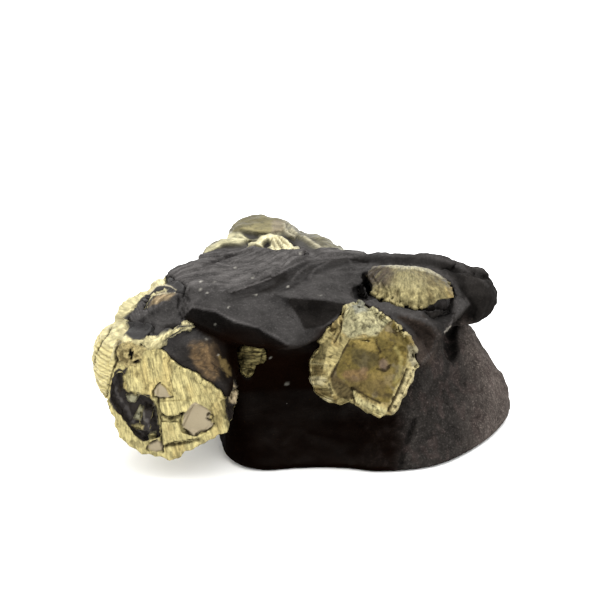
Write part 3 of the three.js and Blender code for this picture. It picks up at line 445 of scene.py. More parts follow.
def pick(choice, first, second):
    """Rows of the first where the choice is over a half, and of the second elsewhere."""
    return np.where((choice > 0.5)[:, None], first, second)


def front_view(points):
    """Where points are seen from the front, in millimetres right of and above the middle of the view."""
    from_eye = points - EYE * 1000
    depth = -(from_eye @ BACK)
    scale = VIEW_DISTANCE * 1000 / depth
    return (from_eye @ RIGHT) * scale, (from_eye @ UP) * scale


def along_line(u, v, line, closed=False):
    """Distance of each point from a broken line, its side (1 on the left), and how far along it is."""
    best = np.full(len(u), np.inf)
    side = np.ones(len(u))
    along = np.zeros(len(u))
    start = 0.0
    for (x0, y0), (x1, y1) in zip(line, line[1:] + (line[:1] if closed else [])):
        dx, dy = x1 - x0, y1 - y0
        length = math.hypot(dx, dy)
        share = np.clip(((u - x0) * dx + (v - y0) * dy) / length**2, 0, 1)
        away = np.hypot(u - x0 - share * dx, v - y0 - share * dy)
        nearer = away < best
        best = np.where(nearer, away, best)
        side = np.where(nearer, np.where(dx * (v - y0) - dy * (u - x0) > 0, 1, -1), side)
        along = np.where(nearer, start + share * length, along)
        start += length
    return best, side, along


def inside(u, v, outline):
    """Whether each point is inside a closed outline."""
    found = np.zeros(len(u), bool)
    for (x0, y0), (x1, y1) in zip(outline, outline[1:] + outline[:1]):
        if y0 == y1:
            continue
        crosses = (v > min(y0, y1)) & (v <= max(y0, y1))
        found ^= crosses & (u < x0 + (v - y0) * (x1 - x0) / (y1 - y0))
    return found


class Surface:
    """The points of one piece while it is shaped and coloured, in millimetres."""

    def __init__(self, piece):
        self.mesh = piece.data
        self.points = self.read("co") * 1000
        self.colour = np.zeros_like(self.points)
        self.renew()

    def read(self, what):
        flat = np.empty(len(self.mesh.vertices) * 3, np.float32)
        self.mesh.vertices.foreach_get(what, flat)
        return flat.reshape(-1, 3).astype(float)

    def renew(self):
        """Reads the normals again and the place of each point on the front view."""
        self.normals = self.read("normal")
        self.u, self.v = front_view(self.points)
        self.facing = self.normals @ BACK
        self.front = ease(-0.2, 0.1, self.facing)

    def push(self, height):
        """Moves the points along their normals."""
        self.place(self.points + self.normals * height[:, None])

    def place(self, points):
        """Moves the points to new places."""
        self.points = points
        self.mesh.vertices.foreach_set("co", (self.points / 1000).astype(np.float32).ravel())
        self.mesh.update()
        self.renew()

    def fold(self, corners, faces, soft=0.7):
        """Flattens the front between corners of the front view, with sharp creases from corner to corner."""
        depth = self.points @ BACK
        seen = self.facing > 0
        pulled = []
        for u, v, pull in corners:
            away = np.hypot(self.u - u, self.v - v)
            front = seen & (away < away[seen].min() + CORNER_REACH)
            front &= depth > depth[front].max() - CORNER_DEPTH
            pulled.append(depth[front][np.argmin(away[front])] + pull)
        edges = {}
        for face in faces:
            for a, b in zip(face, face[1:] + face[:1]):
                edges[frozenset((a, b))] = edges.get(frozenset((a, b)), 0) + 1
        rim = np.full(len(depth), np.inf)
        for a, b in (sorted(edge) for edge, uses in edges.items() if uses == 1):
            rim = np.minimum(rim, along_line(self.u, self.v, [corners[a][:2], corners[b][:2]])[0])
        move = np.zeros(len(depth))
        for face in faces:
            (x0, y0, _), (x1, y1, _), (x2, y2, _) = (corners[i] for i in face)
            whole = (x1 - x0) * (y2 - y0) - (x2 - x0) * (y1 - y0)
            second = ((self.u - x0) * (y2 - y0) - (x2 - x0) * (self.v - y0)) / whole
            third = ((x1 - x0) * (self.v - y0) - (self.u - x0) * (y1 - y0)) / whole
            within = (second >= 0) & (third >= 0) & (second + third <= 1)
            shares = (1 - second - third, second, third)
            flat = sum(pulled[corner] * share for corner, share in zip(face, shares))
            move = np.where(within, flat - depth, move)
        close = (np.abs(move) < SMALL_FOLD) & (self.facing > TURNED_AWAY)
        move = np.where(seen & (np.abs(move) < FOLD_REACH) | close, move, 0) * ease(0, soft, rim)
        self.place(self.points + move[:, None] * BACK)

    def area(self, outline, soft=0.3, ragged=0.0, spacing=1.2, seed=1):
        """1 inside an outline of the front view and 0 outside it, with a soft and ragged edge."""
        away, _, _ = along_line(self.u, self.v, outline, closed=True)
        depth = np.where(inside(self.u, self.v, outline), away, -away)
        if ragged:
            depth = depth + ragged * smooth_noise(self.points, spacing, seed)
        return ease(-soft, soft, depth) * self.front

    def areas(self, outlines, *edge):
        """1 inside any of several outlines."""
        return np.clip(sum(self.area(outline, *edge) for outline in outlines), 0, 1)

    def crevice(self, line, width, ragged=0.12):
        """1 along a line of the front view, falling to 0 at the width, with a ragged edge."""
        away, _, _ = along_line(self.u, self.v, line)
        away = away + ragged * smooth_noise(self.points, 0.7, 3)
        return (1 - ease(width * CREVICE_FULL, width * CREVICE_GONE, away)) * self.front

    def crevices(self, lines, width, ragged):
        """1 along any of several lines."""
        return np.max([self.crevice(line, width, ragged) for line in lines], axis=0)

    def cracks(self, lines, ragged):
        """Where cracks are and how deep they go, from the line, width and depth of each."""
        marks = [self.crevice(line, width, ragged) for line, width, _ in lines]
        return np.max(marks, axis=0), sum(mark * deep for mark, (_, _, deep) in zip(marks, lines))

    def ridge(self, line, width):
        """1 along a line of the front view, falling evenly to 0 at the width, as on a sharp crest."""
        away, _, _ = along_line(self.u, self.v, line)
        return np.clip(1 - away / width, 0, 1) * self.front

    def spots(self, places):
        """1 at round spots of the front view, each given by its middle and radius."""
        away = [np.hypot(self.u - x, self.v - y) / radius for (x, y), radius in places]
        return (1 - ease(SPOT_FULL, SPOT_GONE, np.min(away, axis=0))) * self.front

    def polar(self, centre, reach):
        """Coordinates across and along lines that fan out from a point of the front view."""
        du, dv = self.u - centre[0], self.v - centre[1]
        return np.arctan2(du, dv) * reach, np.hypot(du, dv)

    def paint(self, mask, target):
        """Moves the colours towards a target colour by the mask."""
        self.colour += mask[:, None] * (np.array(target) - self.colour)

    def fill(self, *patches):
        """Paints patches, each given by its outline, strength, colour and edge."""
        for outline, strength, target, *edge in patches:
            self.paint(strength * self.area(outline, *edge), target)

    def trace(self, *lines):
        """Paints lines, each given by its course, strength, colour, width and raggedness."""
        for line, strength, target, *edge in lines:
            self.paint(strength * self.crevice(line, *edge), target)

    def keep(self, **layers):
        """Stores the colours, and numbers or vectors for each point, for the material to read."""
        layers["tint"] = np.hstack([np.clip(self.colour, 0, 1), np.ones((len(self.points), 1))])
        kinds = {1: ("FLOAT", "value"), 3: ("FLOAT_VECTOR", "vector"), 4: ("FLOAT_COLOR", "color")}
        for name, values in layers.items():
            kind, key = kinds[values.size // len(values)]
            layer = self.mesh.attributes.new(name, kind, "POINT")
            layer.data.foreach_set(key, values.astype(np.float32).ravel())


def faces_between(corners, around, creases):
    """Triangles between corners. The first ones go round the outside, and the creases are edges to keep."""
    flat = [Vector(corner[:2]) for corner in corners]
    return [tuple(face) for face in delaunay_2d_cdt(flat, creases, [list(range(around))], 1, 1e-4)[2]]


def added(name, data, location=(0, 0, 0)):
    """A new object in the scene."""
    made = bpy.data.objects.new(name, data)
    made.location = location
    bpy.context.scene.collection.objects.link(made)
    return made


def copy_of(node, name, face_size, softening):
    """A copy of a CAD node with small even faces, ready to be shaped."""
    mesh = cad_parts[node].data.copy()
    mesh.name = name
    welded = bmesh.new()
    welded.from_mesh(mesh)
    bmesh.ops.remove_doubles(welded, verts=welded.verts, dist=1e-6)
    welded.to_mesh(mesh)
    welded.free()
    piece = added(name, mesh)
    even = piece.modifiers.new("even faces", "REMESH")
    even.mode = "VOXEL"
    even.voxel_size = face_size
    soft = piece.modifiers.new("soft edges", "SMOOTH")
    soft.factor = 0.5
    soft.iterations = softening
    graph = bpy.context.evaluated_depsgraph_get()
    shaped = bpy.data.meshes.new_from_object(piece.evaluated_get(graph))
    piece.modifiers.clear()
    piece.data = shaped
    shaped.materials.clear()
    for layer in [a.name for a in shaped.attributes if not a.is_required and not a.is_internal]:
        shaped.attributes.remove(shaped.attributes[layer])
    shaped.shade_smooth()
    return piece


def close_gap(surface, kept=0.0):
    """Grows a nodule into the shale where the two are close, but not where its shape is to be kept."""
    mesh = bpy.data.objects[SHALE].data
    tree = BVHTree.FromPolygons([v.co for v in mesh.vertices], [p.vertices for p in mesh.polygons])
    grow = np.zeros(len(surface.points))
    for i, point in enumerate(surface.points):
        place, normal, _, distance = tree.find_nearest(Vector(point / 1000), GAP_FADE / 1000)
        if place is not None and (Vector(point / 1000) - place).dot(normal) > 0:
            gap = distance * 1000
            grow[i] = (gap + GAP_OVERLAP) * (1 - ease(GAP_REACH, GAP_FADE, gap))
    surface.push(grow * (1 - kept))


def attach(piece, node, material):
    """Gives a piece its material, puts it in the place of its CAD node and on the body it rides."""
    piece.data.materials.append(material)
    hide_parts(node)
    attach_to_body(piece, "root")


# Materials


class Finish:
    """A material and the nodes that make its colour, roughness and bump."""

    def __init__(self, name):
        self.material = bpy.data.materials.new(name)
        self.material.use_nodes = True
        self.tree = self.material.node_tree
        self.shader = self.tree.nodes["Principled BSDF"]
        self.place = self.node("ShaderNodeTexCoord").outputs["Object"]

    def feed(self, socket, value):
        """Links a socket, or sets it where the value is a number or a colour."""
        if isinstance(value, bpy.types.NodeSocket):
            self.tree.links.new(value, socket)
        else:
            socket.default_value = (*value, 1) if isinstance(value, tuple) else value

    def give(self, **values):
        """Feeds inputs of the shader, named with a low line for each space."""
        for name, value in values.items():
            self.feed(self.shader.inputs[name.replace("_", " ")], value)

    def node(self, kind, **settings):
        """A new node, with its inputs fed and its options set."""
        made = self.tree.nodes.new(kind)
        for key, value in settings.items():
            if key.replace("_", " ") in made.inputs:
                self.feed(made.inputs[key.replace("_", " ")], value)
            else:
                setattr(made, key, value)
        return made

    def layer(self, name, output="Fac"):
        """A number, vector or colour kept on the mesh."""
        return self.node("ShaderNodeAttribute", attribute_name=name).outputs[output]

    def noise(self, vector, scale, detail=3.0, roughness=0.55):
        made = self.node("ShaderNodeTexNoise", Vector=vector, Scale=scale, Detail=detail, Roughness=roughness)
        return made.outputs["Fac"]

    def range(self, value, low, high, to_low=0.0, to_high=1.0):
        """Stretches a value from one range to another, and keeps it there."""
        ends = {"From_Min": low, "From_Max": high, "To_Min": to_low, "To_Max": to_high}
        return self.node("ShaderNodeMapRange", Value=value, **ends).outputs["Result"]

    def math(self, operation, first, second):
        made = self.node("ShaderNodeMath", operation=operation)
        self.feed(made.inputs[0], first)
        self.feed(made.inputs[1], second)
        return made.outputs[0]

    def times(self, first, *others):
        for other in others:
            first = self.math("MULTIPLY", first, other)
        return first

    def plus(self, first, second):
        return self.math("ADD", first, second)

    def mix(self, share, first, second, mode="MIX"):
        """Mixes two colours by a share."""
        made = self.node("ShaderNodeMix", data_type="RGBA", blend_type=mode)
        sockets = {s.identifier: s for s in made.inputs}
        for key, value in (("Factor_Float", share), ("A_Color", first), ("B_Color", second)):
            self.feed(sockets[key], value)
        return next(s for s in made.outputs if s.identifier == "Result_Color")

    def bump(self, height, strength, distance, **below):
        made = self.node("ShaderNodeBump", Height=height, Strength=strength, Distance=distance, **below)
        return made.outputs["Normal"]


def shale_finish(sizes):
    """Matt black shale: fine grain, flow lines on the top sheet, and specks of pale dust."""
    finish = Finish("black shale")
    grainy = finish.layer("grainy")
    grain = finish.noise(finish.place, 2600, 4, 0.65)
    lines = finish.noise(finish.layer("flow", "Vector"), 1.0, 3, 0.6)
    salt = finish.times(finish.range(grain, 0.52, 0.75, 0.0, 2.2), grainy)
    mottle = finish.times(finish.range(finish.noise(finish.place, 900, 2), 0.35, 0.65, -0.25, 0.25), grainy)
    cloud = finish.range(finish.noise(finish.place, 220, 3), 0.3, 0.7, 0.72, 1.28)
    streak = finish.times(finish.range(lines, 0.34, 0.66, -0.4, 0.4), finish.layer("layered"))
    shade = finish.plus(finish.times(finish.plus(cloud, mottle), finish.plus(streak, 1.0)), salt)
    colour = finish.mix(1.0, finish.layer("tint", "Color"), shade, "MULTIPLY")
    cells = finish.node("ShaderNodeTexVoronoi", Vector=finish.place, Scale=520)
    picked = finish.node("ShaderNodeSeparateColor", Color=cells.outputs["Color"])
    size = finish.range(picked.outputs["Red"], 0.93, 1.0, 0.0, 0.08)
    speck = finish.math("LESS_THAN", cells.outputs["Distance"], size)
    fine = finish.bump(grain, 0.6, sizes.grain_height)
    finish.give(
        Base_Color=finish.mix(finish.times(speck, 0.5), colour, (0.17, 0.16, 0.145)),
        Roughness=finish.range(grain, 0.3, 0.8, 0.55, 0.8),
        Specular_IOR_Level=0.005,
        Normal=finish.bump(lines, 0.5, sizes.grain_height * 2, Normal=fine),
    )
    return finish.material


def pyrite_finish(sizes, name, fibre, pits):
    """Pyrite: its colours come from the mesh, with fibres, grain and pits over them."""
    finish = Finish(name)
    streaks = finish.layer("fibre", "Vector")
    plain = finish.layer("plain")
    fine = finish.noise(streaks, 1.0, 3, 0.6)
    grain = finish.noise(finish.place, 2400, 4, 0.7)
    marks = finish.times(
        finish.range(fine, 0.38, 0.6, 1 - fibre, 1.1),
        finish.range(finish.noise(streaks, 0.35, 2), 0.3, 0.7, 0.7, 1.06),
        finish.range(finish.noise(finish.place, 1100, 2, 0.5), 0.32, 0.45, 1 - pits, 1.0),
        finish.range(grain, 0.35, 0.7, 0.84, 1.2),
    )
    unmarked = finish.math("SUBTRACT", 1.0, plain)
    shade = finish.plus(finish.times(marks, unmarked), plain)
    height = finish.times(finish.plus(fine, finish.times(grain, 0.7)), unmarked)
    finish.give(
        Base_Color=finish.mix(1.0, finish.layer("tint", "Color"), shade, "MULTIPLY"),
        Roughness=finish.range(grain, 0.3, 0.75, 0.36, 0.62),
        Metallic=finish.times(finish.layer("shine"), 0.7),
        Specular_IOR_Level=0.08,
        Normal=finish.bump(height, 0.8, sizes.fibre_height),
    )
    return finish.material


# Sizes and colours that a user may change


def length_of(name, description, default, low):
    return FloatProperty(name=name, description=description, default=default, min=low, unit="LENGTH")


def colour_of(name, description, default):
    return FloatVectorProperty(
        name=name, description=description, default=default, subtype="COLOR", min=0, max=1
    )


class ShaleSettings(bpy.types.PropertyGroup):
    face_size: length_of("Face size", "Side of the small faces of the shale", 0.00043, 0.0002)
    grain_height: length_of("Grain height", "Height of the fine grain", 0.00012, 0)
    colour: colour_of("Colour", "Colour of bare shale", (0.0122, 0.0108, 0.0098))
    # The colour of its top, painted on the upward faces; lighter and darker shares of it make painted
    # highlights and shaded facets
    top_colour: colour_of("Top colour", "Colour of its top", (0.028, 0.0262, 0.0252))
    rust: colour_of("Rust", "Colour of the rusty stain", (0.115, 0.075, 0.038))


class PyriteSettings(bpy.types.PropertyGroup):
    face_size: length_of("Face size", "Side of the small faces of the nodules", 0.00022, 0.0001)
    fibre_height: length_of("Fibre height", "Height of the fine fibres", 0.00015, 0)
    fibre_width: length_of("Fibre width", "Width of one fine fibre", 0.0004, 0.0001)
    bright: colour_of("Bright", "Colour of fresh pyrite", (0.45, 0.39, 0.18))
    brown: colour_of("Brown", "Colour of the tarnished face", (0.102, 0.077, 0.022))
    crystal: colour_of("Crystal", "Colour of the flat crystal faces", (0.25, 0.21, 0.14))


class StageSettings(bpy.types.PropertyGroup):
    floor_size: length_of("Floor size", "Side of the floor", 6.0, 1)
    floor_colour: colour_of("Floor colour", "Colour of the floor", (0.86, 0.86, 0.85))
    overhead: FloatProperty(
        name="Overhead light", description="Power of the light above", default=8.0, min=0, unit="POWER"
    )
    surround: FloatProperty(
        name="Surrounding light", description="Strength of the light all round", default=2.0, min=0
    )


# The pieces


class MakesPiece:
    """What the operators share that make one piece from one CAD node.

    Each has its own shape method, in which s is the surface of the piece.
    """

    settings = "specimen_pyrite"
    finish = staticmethod(pyrite_finish)
    coarseness = 1.0

    def execute(self, context):
        sizes = getattr(context.scene, self.settings)
        piece = copy_of(self.node_name, self.piece_name, sizes.face_size * self.coarseness, self.softening)
        self.shape(Surface(piece), sizes)
        attach(piece, self.node_name, self.finish(sizes, *self.look))
        return {"FINISHED"}


class SPECIMEN_OT_shale(MakesPiece, bpy.types.Operator):
    """Makes the lump of black shale with its flow lines, ledges, cracks and rust"""

    bl_idname = "specimen.shale"
    bl_label = "Shale"
    settings = "specimen_shale"
    node_name, piece_name, slot_name = "matrix", SHALE, "shale"
    softening = 2
    finish = staticmethod(shale_finish)
    look = ()

    def shape(self, s, sizes):
        # Where its parts are: 1 there, and 0 elsewhere
        x, y, z = s.points.T
        lift = ease(0.4, 2.5, z)
        top = ease(0.4, 0.8, s.normals[:, 2]) * ease(25, 28, z)
        away, side, along = along_line(s.u, s.v, FLOW)
        away_above = away * side
        flow = np.stack([away_above, along, y * 0.3], axis=1)
        on_sheet = ease(14, 11, s.u) * top
        above = ease(-0.1, 0.3, away_above) * on_sheet
        step = ease(-0.5, 0.3, away_above) * ease(9, 2, away) * on_sheet
        crest = ease(2.5, 5.5, y) * ease(-9.5, -7.5, x) * ease(3, 1.5, x) * ease(32.5, 34.5, z)
        arm = ease(16, 22, s.u)
        around = ease(20, 30, x) * ease(17, 9, z) * ease(24, 2, y) * (1 - s.front)
        foot = s.area(FOOT, 2, 0.6, 3) + around
        behind = ease(0, -0.35, s.facing) * ease(26, 21, z)
        near = ease(2, -4, y)
        cap = s.areas((CAP_LIT, CAP_UNDER, DARK_FACET), 0.5)
        # Its broad shape, the flat facets and then the fine shape
        angular = (1 - 0.7 * top - 0.55 * foot) * (1 - 0.85 * cap)
        angular *= (1 - 0.9 * s.area(RECESS, 1)) * (1 - 0.8 * s.area(CALM_SIDE, 1))
        height = angular * (1.1 * facets(s.points, 9.0, 11, 14) + 0.5 * facets(s.points, 3.8, 17, 12))
        sheets = ledges(flow, (1.5, 16, 8), 31) + 0.35 * ledges(flow, (0.7, 9, 6), 35, 2)
        height += 0.5 * top * (1 - 0.7 * cap) * (1 - 0.85 * arm) * sheets + 0.8 * step
        height += 0.8 * s.spots(NOTCH_FILL) - 1.7 * crest
        height += 0.8 * behind * ledges(s.points, (11, 11, 1.8), 37)
        height += sum(rise * s.ridge(line, width) for line, rise, width in SHALE_RIDGES)
        height -= 0.5 * s.crevice(TOP_GAP, 0.4, 0.1) + 0.3 * s.crevice(COVER_EDGE, 0.7, 0)
        s.push(height * lift)
        s.fold(CAP_CORNERS, CAP_FACES)
        s.fold(SIDE_CORNERS, SIDE_FACES, 0.4)
        height = 0.14 * rough_noise(s.points, 2.2, 21) + 0.06 * rough_noise(s.points, 0.9, 25, 2)
        height *= 1 - 0.85 * s.area(RECESS, 1)
        height += 0.18 * facets(s.points, 2.6, 27, 12) * cap
        height += sum(0.3 * s.ridge(line, 0.7) for line in FOLD_LINES)
        height -= 0.3 * s.crevice(CAP_CRACK, 0.22, 0.05) + 0.5 * s.crevice(FOOT_CRACK, 0.5, 0.2)
        height -= 1.5 * s.area(NOTCH, 0.5, 0.2) + 1.1 * s.area(POCKET, 0.3, 0.1)
        height -= 0.7 * s.crevice(UPPER_CREASE, 0.35) + 0.9 * s.crevice(KNOB_GROOVE, 0.45, 0.05)
        height -= 0.5 * s.area(DARK_BAND, 0.4, 0.1)
        height -= sum(0.25 * s.crevice(line, 0.22, 0.05) for line in BEAK_LINES)
        s.push(height * lift)

        # Its colours, with painted shade in its hollows, cracks and shaded facets, and painted highlights on
        # its edges, crests and lit facets
        bare, top_colour = np.array(sizes.colour[:]), np.array(sizes.top_colour[:])
        s.colour[:] = bare
        s.paint(foot, bare * 1.15)
        # Painted light: the rim of the foot, the side round it, and the foot more and more towards its right
        # are painted lighter where the light falls on them
        s.paint(0.85 * s.area(FOOT_RIM, 3.5, 0.8) + 0.3 * around, bare * (4.4, 4.1, 3.9))
        s.paint(0.75 * foot * ease(30.5, 38.5, s.u), bare * (3.9, 3.65, 3.55))
        s.fill((CALM_SIDE, 0.5, bare * (2.6, 2.1, 1.8), 1))
        earthy = blotches(s.points, 0, 0.6, (7, 7, 2.5), 49) * behind * (1 - foot)
        s.paint(0.6 * earthy, bare * (2.5, 2.2, 1.9))
        # The upward faces of the top get the top colour, and the sheet above the flow line a lighter one
        s.paint(top, top_colour)
        sheet = above * (1 - s.area(SCARP, 0.3))
        s.paint(sheet, top_colour * 1.6)
        # Painted shade on the arm, which faces the front, on the scarp below the sheet's edge and on the
        # front facet, which faces down; painted light on the lit facets of the cap and on the diamond, which
        # faces up
        s.fill(
            (ARM, 0.9, bare * 0.5, 0.8, 0.3), (CAP_LIT, 0.85, top_colour * 0.82, 0.3, 0.1),
            (SCARP, 0.8, top_colour * 0.55, 0.3, 0.4, 0.8), (FRONT_FACET, 0.8, top_colour * 0.5, 0.2, 0.1),
            (DIAMOND, 0.8, top_colour * 1.1, 0.2, 0.1),
        )
        # Painted highlights along the edge of the facet and of the cap, and painted shade in the dark band
        # and in the gap at the top
        s.trace((FACET_EDGE, 0.7, top_colour * 2, 0.16, 0.08))
        s.fill((DARK_BAND, 0.9, bare * 0.2, 0.3, 0.1))
        s.trace((CAP_EDGE, 0.6, top_colour * 1.7, 0.2, 0.08), (TOP_GAP, 0.9, bare * 0.2, 0.3, 0.1))
        # Painted shadow in a ragged band just below the flow line, under the edge of the sheet, and patchy
        # painted shade on the scarp
        below = ease(0, -0.2, away_above) * ease(2.9, 1.7, away) * ease(3, -3, s.u) * ease(-16.5, -12, s.u)
        below *= 0.4 + 0.6 * blotches(flow, -0.3, 0.4, (1.0, 3, 3), 48)
        s.paint(0.95 * below, bare * 0.4)
        patchy_scarp_shade = blotches(flow, 0, 0.6, (0.6, 3, 3), 47)
        s.paint(0.5 * patchy_scarp_shade * s.area(SCARP, 0.3, 0.3), bare * 0.8)
        # Painted highlights along the fold lines and along the crest of the flow line
        s.trace(*[(line, 0.5, top_colour * 1.5, 0.25, 0.15) for line in FOLD_LINES])
        along_sheet = ease(14, 11, s.u) * ease(-20, -17, s.u)
        s.paint(0.7 * s.crevice(FLOW, 0.22, 0.1) * along_sheet, top_colour * 2)
        # Painted shade in the notch, the pocket and the upper crease
        s.fill((NOTCH, 0.9, bare * 0.2, 0.35, 0.2), (POCKET, 1, bare * 0.15, 0.2, 0.1))
        s.trace((UPPER_CREASE, 0.5, bare * 0.6, 0.35))
        # Painted shade on the dark facet and under the cap; the beak is painted lighter
        s.fill(
            (DARK_FACET, 1, bare * 0.55, 0.25, 0.1), (BEAK, 0.8, top_colour * 1.25, 0.4, 0.2),
            (CAP_UNDER, 1, bare * 0.35, 0.15, 0.1),
        )
        # Painted shade in the recess, on all but its upward faces, darkest towards its bottom
        deep = s.area(RECESS, 2.2, 0.8, 2.5) * (1 - ease(0.5, 0.9, s.normals[:, 2]))
        s.paint(deep, bare * (0.3, 0.13, 0.06))
        s.paint(0.7 * deep * ease(-15, -21, s.v), bare * (0.05, 0.02, 0.01))
        # Painted shade on the top of the arm and under the crest, and painted highlights along the ridges
        s.paint(0.35 * top * arm, bare * 1.4)
        s.trace((UNDER_CREST, 0.65, bare * 0.35, 0.8, 0.2))
        for line, _, width in SHALE_RIDGES:
            s.paint(0.35 * s.ridge(line, width * 0.35), top_colour * 1.4)
        # Painted shade in the beak lines and in the cracks of the cap and the foot
        s.trace(
            *[(line, 0.6, bare * 0.4, 0.15, 0.05) for line in BEAK_LINES],
            (CAP_CRACK, 0.9, bare * 0.2, 0.16, 0.05), (FOOT_CRACK, 0.85, bare * 0.25, 0.6, 0.3),
        )
        streaky = 0.3 + 0.7 * blotches(s.points, -0.6, 0.7, (0.5, 0.5, 2.4), 43)
        s.paint(0.9 * near * streaky * s.area(RUST, 1.2, 0.9, 1.6, 41), sizes.rust[:])
        s.paint(0.7 * near * s.area(FLANK_RUST, 0.3, 0.4, 0.6), (0.14, 0.1, 0.04))
        s.paint(0.8 * near * s.area(ARCH_PATCH, 0.2, 0.2), (0.2, 0.15, 0.085))
        s.paint(0.6 * s.spots(DUST), (0.23, 0.22, 0.19))
        s.trace((SLIVER, 0.8, (0.34, 0.31, 0.26), 0.14, 0.06))
        pinkish = blotches(s.points, 0.1, 0.6, (1.2, 1.2, 4), 45) * foot * (1 - deep)
        s.paint(0.5 * pinkish, bare * (2.3, 1.95, 1.95))
        s.keep(
            flow=flow * (2.2, 0.2, 0.6), grainy=0.45 + 0.55 * foot - 0.45 * deep,
            layered=np.clip(0.25 + 0.75 * sheet, 0, 1) * (1 - 0.7 * cap) * (1 - deep),
        )


class SPECIMEN_OT_left_nodule(MakesPiece, bpy.types.Operator):
    """Makes the left nodule with its fibres, flat crystal faces, black hollow and banded lobe"""

    bl_idname = "specimen.left_nodule"
    bl_label = "Left nodule"
    node_name, piece_name, slot_name = "pyrite_left", "nodule_left", "pyrite_bright"
    softening = 2
    look = ("bright pyrite", 0.45, 0.25)

    def shape(self, s, sizes):
        x, _, z = s.points.T
        broken = s.area(BROKEN_FACE, 0.2, 0.35, 0.5)
        flank = s.area(FLANK, 0.2, 0.2, 0.8)
        grains = s.area(GRANULAR, 0.6, 0.5) * (1 - broken)
        upper = ease(24.5, 27, z) * (1 - broken) * (1 - grains)
        beyond = ease(0.5, -0.5, x + 36.5 - 0.12 * (z - 16))
        lobe = np.maximum(beyond, s.area(LOBE, 0.3)) * (1 - upper) * (1 - broken) * (1 - grains)
        width = sizes.fibre_width * 1000
        depth = s.points @ BACK
        across, along = s.polar((-41, 48.5), 68)
        fibre = strands(width, (across, 1), (along, 9), (depth, 3))
        across, along = s.polar((-26, -4), 9)
        fan = strands(width, (across, 1), (along, 6), (depth, 6))
        across, along = s.polar((-20, -12), 20)
        band = strands(width, (across, 1.4), (along, 12), (depth, 12))
        fibre = pick(lobe, band, pick(upper, fan, pick(grains, s.points / width / 1.4, fibre)))
        flats = s.areas((FLAT_UP, FLAT_BIG, FLAT_LOW), 0.12)
        calm = 1 - flats
        hollow = s.area(HOLLOW, 0.12, 0.28, 0.7)
        raised = np.maximum(s.crevice(ARCH, 0.2, 0.06), s.area(VEIN, 0.12, 0.1, 0.6))
        thinned = 0.8 * s.crevice(VEIN_TUBE, 0.9, 0) * ease(-29, -22, s.u) + 0.25 * s.crevice(ARCH, 0.8, 0)
        right_of_arch = ease(-27, -26.4, s.u) * ease(0, 0.8, s.v)
        skin = np.maximum(s.area(BLACK_SKIN, 0.2, 0.2), right_of_arch) * (1 - raised)
        beside = s.crevice(VEIN_TUBE, 1.6, 0) * ease(-28, -26.5, s.u) * (1 - raised)
        streaks = smooth_noise(fibre, (1.8, 2, 2), 5) + 0.6 * smooth_noise(fibre, (1.1, 1.2, 2), 6)
        height = 0.09 * streaks * calm * (1 - skin)
        rough = np.clip(grains + 0.25 + 0.6 * (1 - broken), 0, 1) * calm * (1 - 0.8 * skin)
        height += 0.26 * rough_noise(s.points, 1.1, 51) * rough
        height -= 0.35 * hollow * (0.6 + rough_noise(s.points, 1.4, 55))
        height += 0.12 * facets(s.points, 2.2, 57, 12) * calm
        levels = z / BAND_SPACING + 0.35 * smooth_noise(s.points, 5, 59)
        grooves = np.abs((levels % 1) * 2 - 1) ** 3 * lobe
        thick_skin = ease(-4.4, -5.4, s.v) * ease(-7.6, -6.8, s.v)
        height += 0.1 * raised + skin * (0.15 + 0.4 * thick_skin)
        s.push(height - 0.22 * grooves - thinned - 0.8 * s.area(UPPER_HOLE, 0.2))
        cracks, depths = s.cracks(LEFT_CREVICES, 0.2)
        chips = blotches(s.points, 0.42, 0.62, (0.9, 0.9, 1.3), 65)
        chips *= (0.5 + grains) * (1 - upper) * calm * (1 - lobe)
        s.push(-depths - 0.3 * chips)
        laths = s.areas(LATHS, 0.12)
        curl = s.area(CURL, 0.15)
        s.push((0.6 * laths + 0.5 * curl) * hollow)

        s.colour[:] = sizes.bright[:]
        patches = 0.5 + 0.5 * rough_noise(s.points, (2.2, 2.2, 4), 61)
        s.paint(0.5 * ease(0.45, 0.9, patches), (0.36, 0.27, 0.1))
        s.paint(0.85 * lobe, (0.56, 0.49, 0.24))
        s.paint(0.8 * grooves, (0.14, 0.1, 0.035))
        s.paint(0.7 * upper, (0.47, 0.43, 0.26))
        s.paint(0.4 * blotches(s.points, 0.1, 0.5, 1.5, 67) * upper, (0.2, 0.17, 0.09))
        s.paint(0.75 * grains, (0.27, 0.215, 0.1))
        s.paint(0.75 * ease(0.0, 0.4, smooth_noise(s.points, 0.9, 63)) * grains, (0.06, 0.042, 0.016))
        s.paint(flats, sizes.crystal[:])
        black = hollow * (1 - laths) * (1 - curl)
        s.paint(black, (0.019, 0.016, 0.0145))
        for line in SLATE_STREAKS:
            s.paint(0.4 * s.crevice(line, 0.25, 0.4) * black, (0.12, 0.11, 0.105))
        s.paint(0.5 * blotches(fibre, 0.35, 0.7, (1.5, 4, 3), 69) * black, (0.13, 0.12, 0.1))
        s.paint(laths * hollow, (0.24, 0.23, 0.15))
        # Painted shade: the cracks and chips are painted near black
        s.paint(0.95 * np.maximum(cracks, 0.8 * chips), (0.02, 0.014, 0.007))
        shale = np.array(bpy.context.scene.specimen_shale.top_colour[:])
        covered = np.maximum(skin, beside)
        s.paint(covered, shale * 0.85)
        s.paint(0.5 * skin * ease(-3.2, -4.6, s.v), shale * 0.4)
        s.paint(0.9 * raised, (0.44, 0.39, 0.21))
        s.fill((ARCH_PATCH, 0.85, (0.24, 0.19, 0.115), 0.15, 0.15))
        s.trace(
            (ARCH, 0.8, (0.46, 0.41, 0.28), 0.16, 0.08), (OUTER_ARCH, 0.8, (0.36, 0.32, 0.22), 0.12, 0.06)
        )
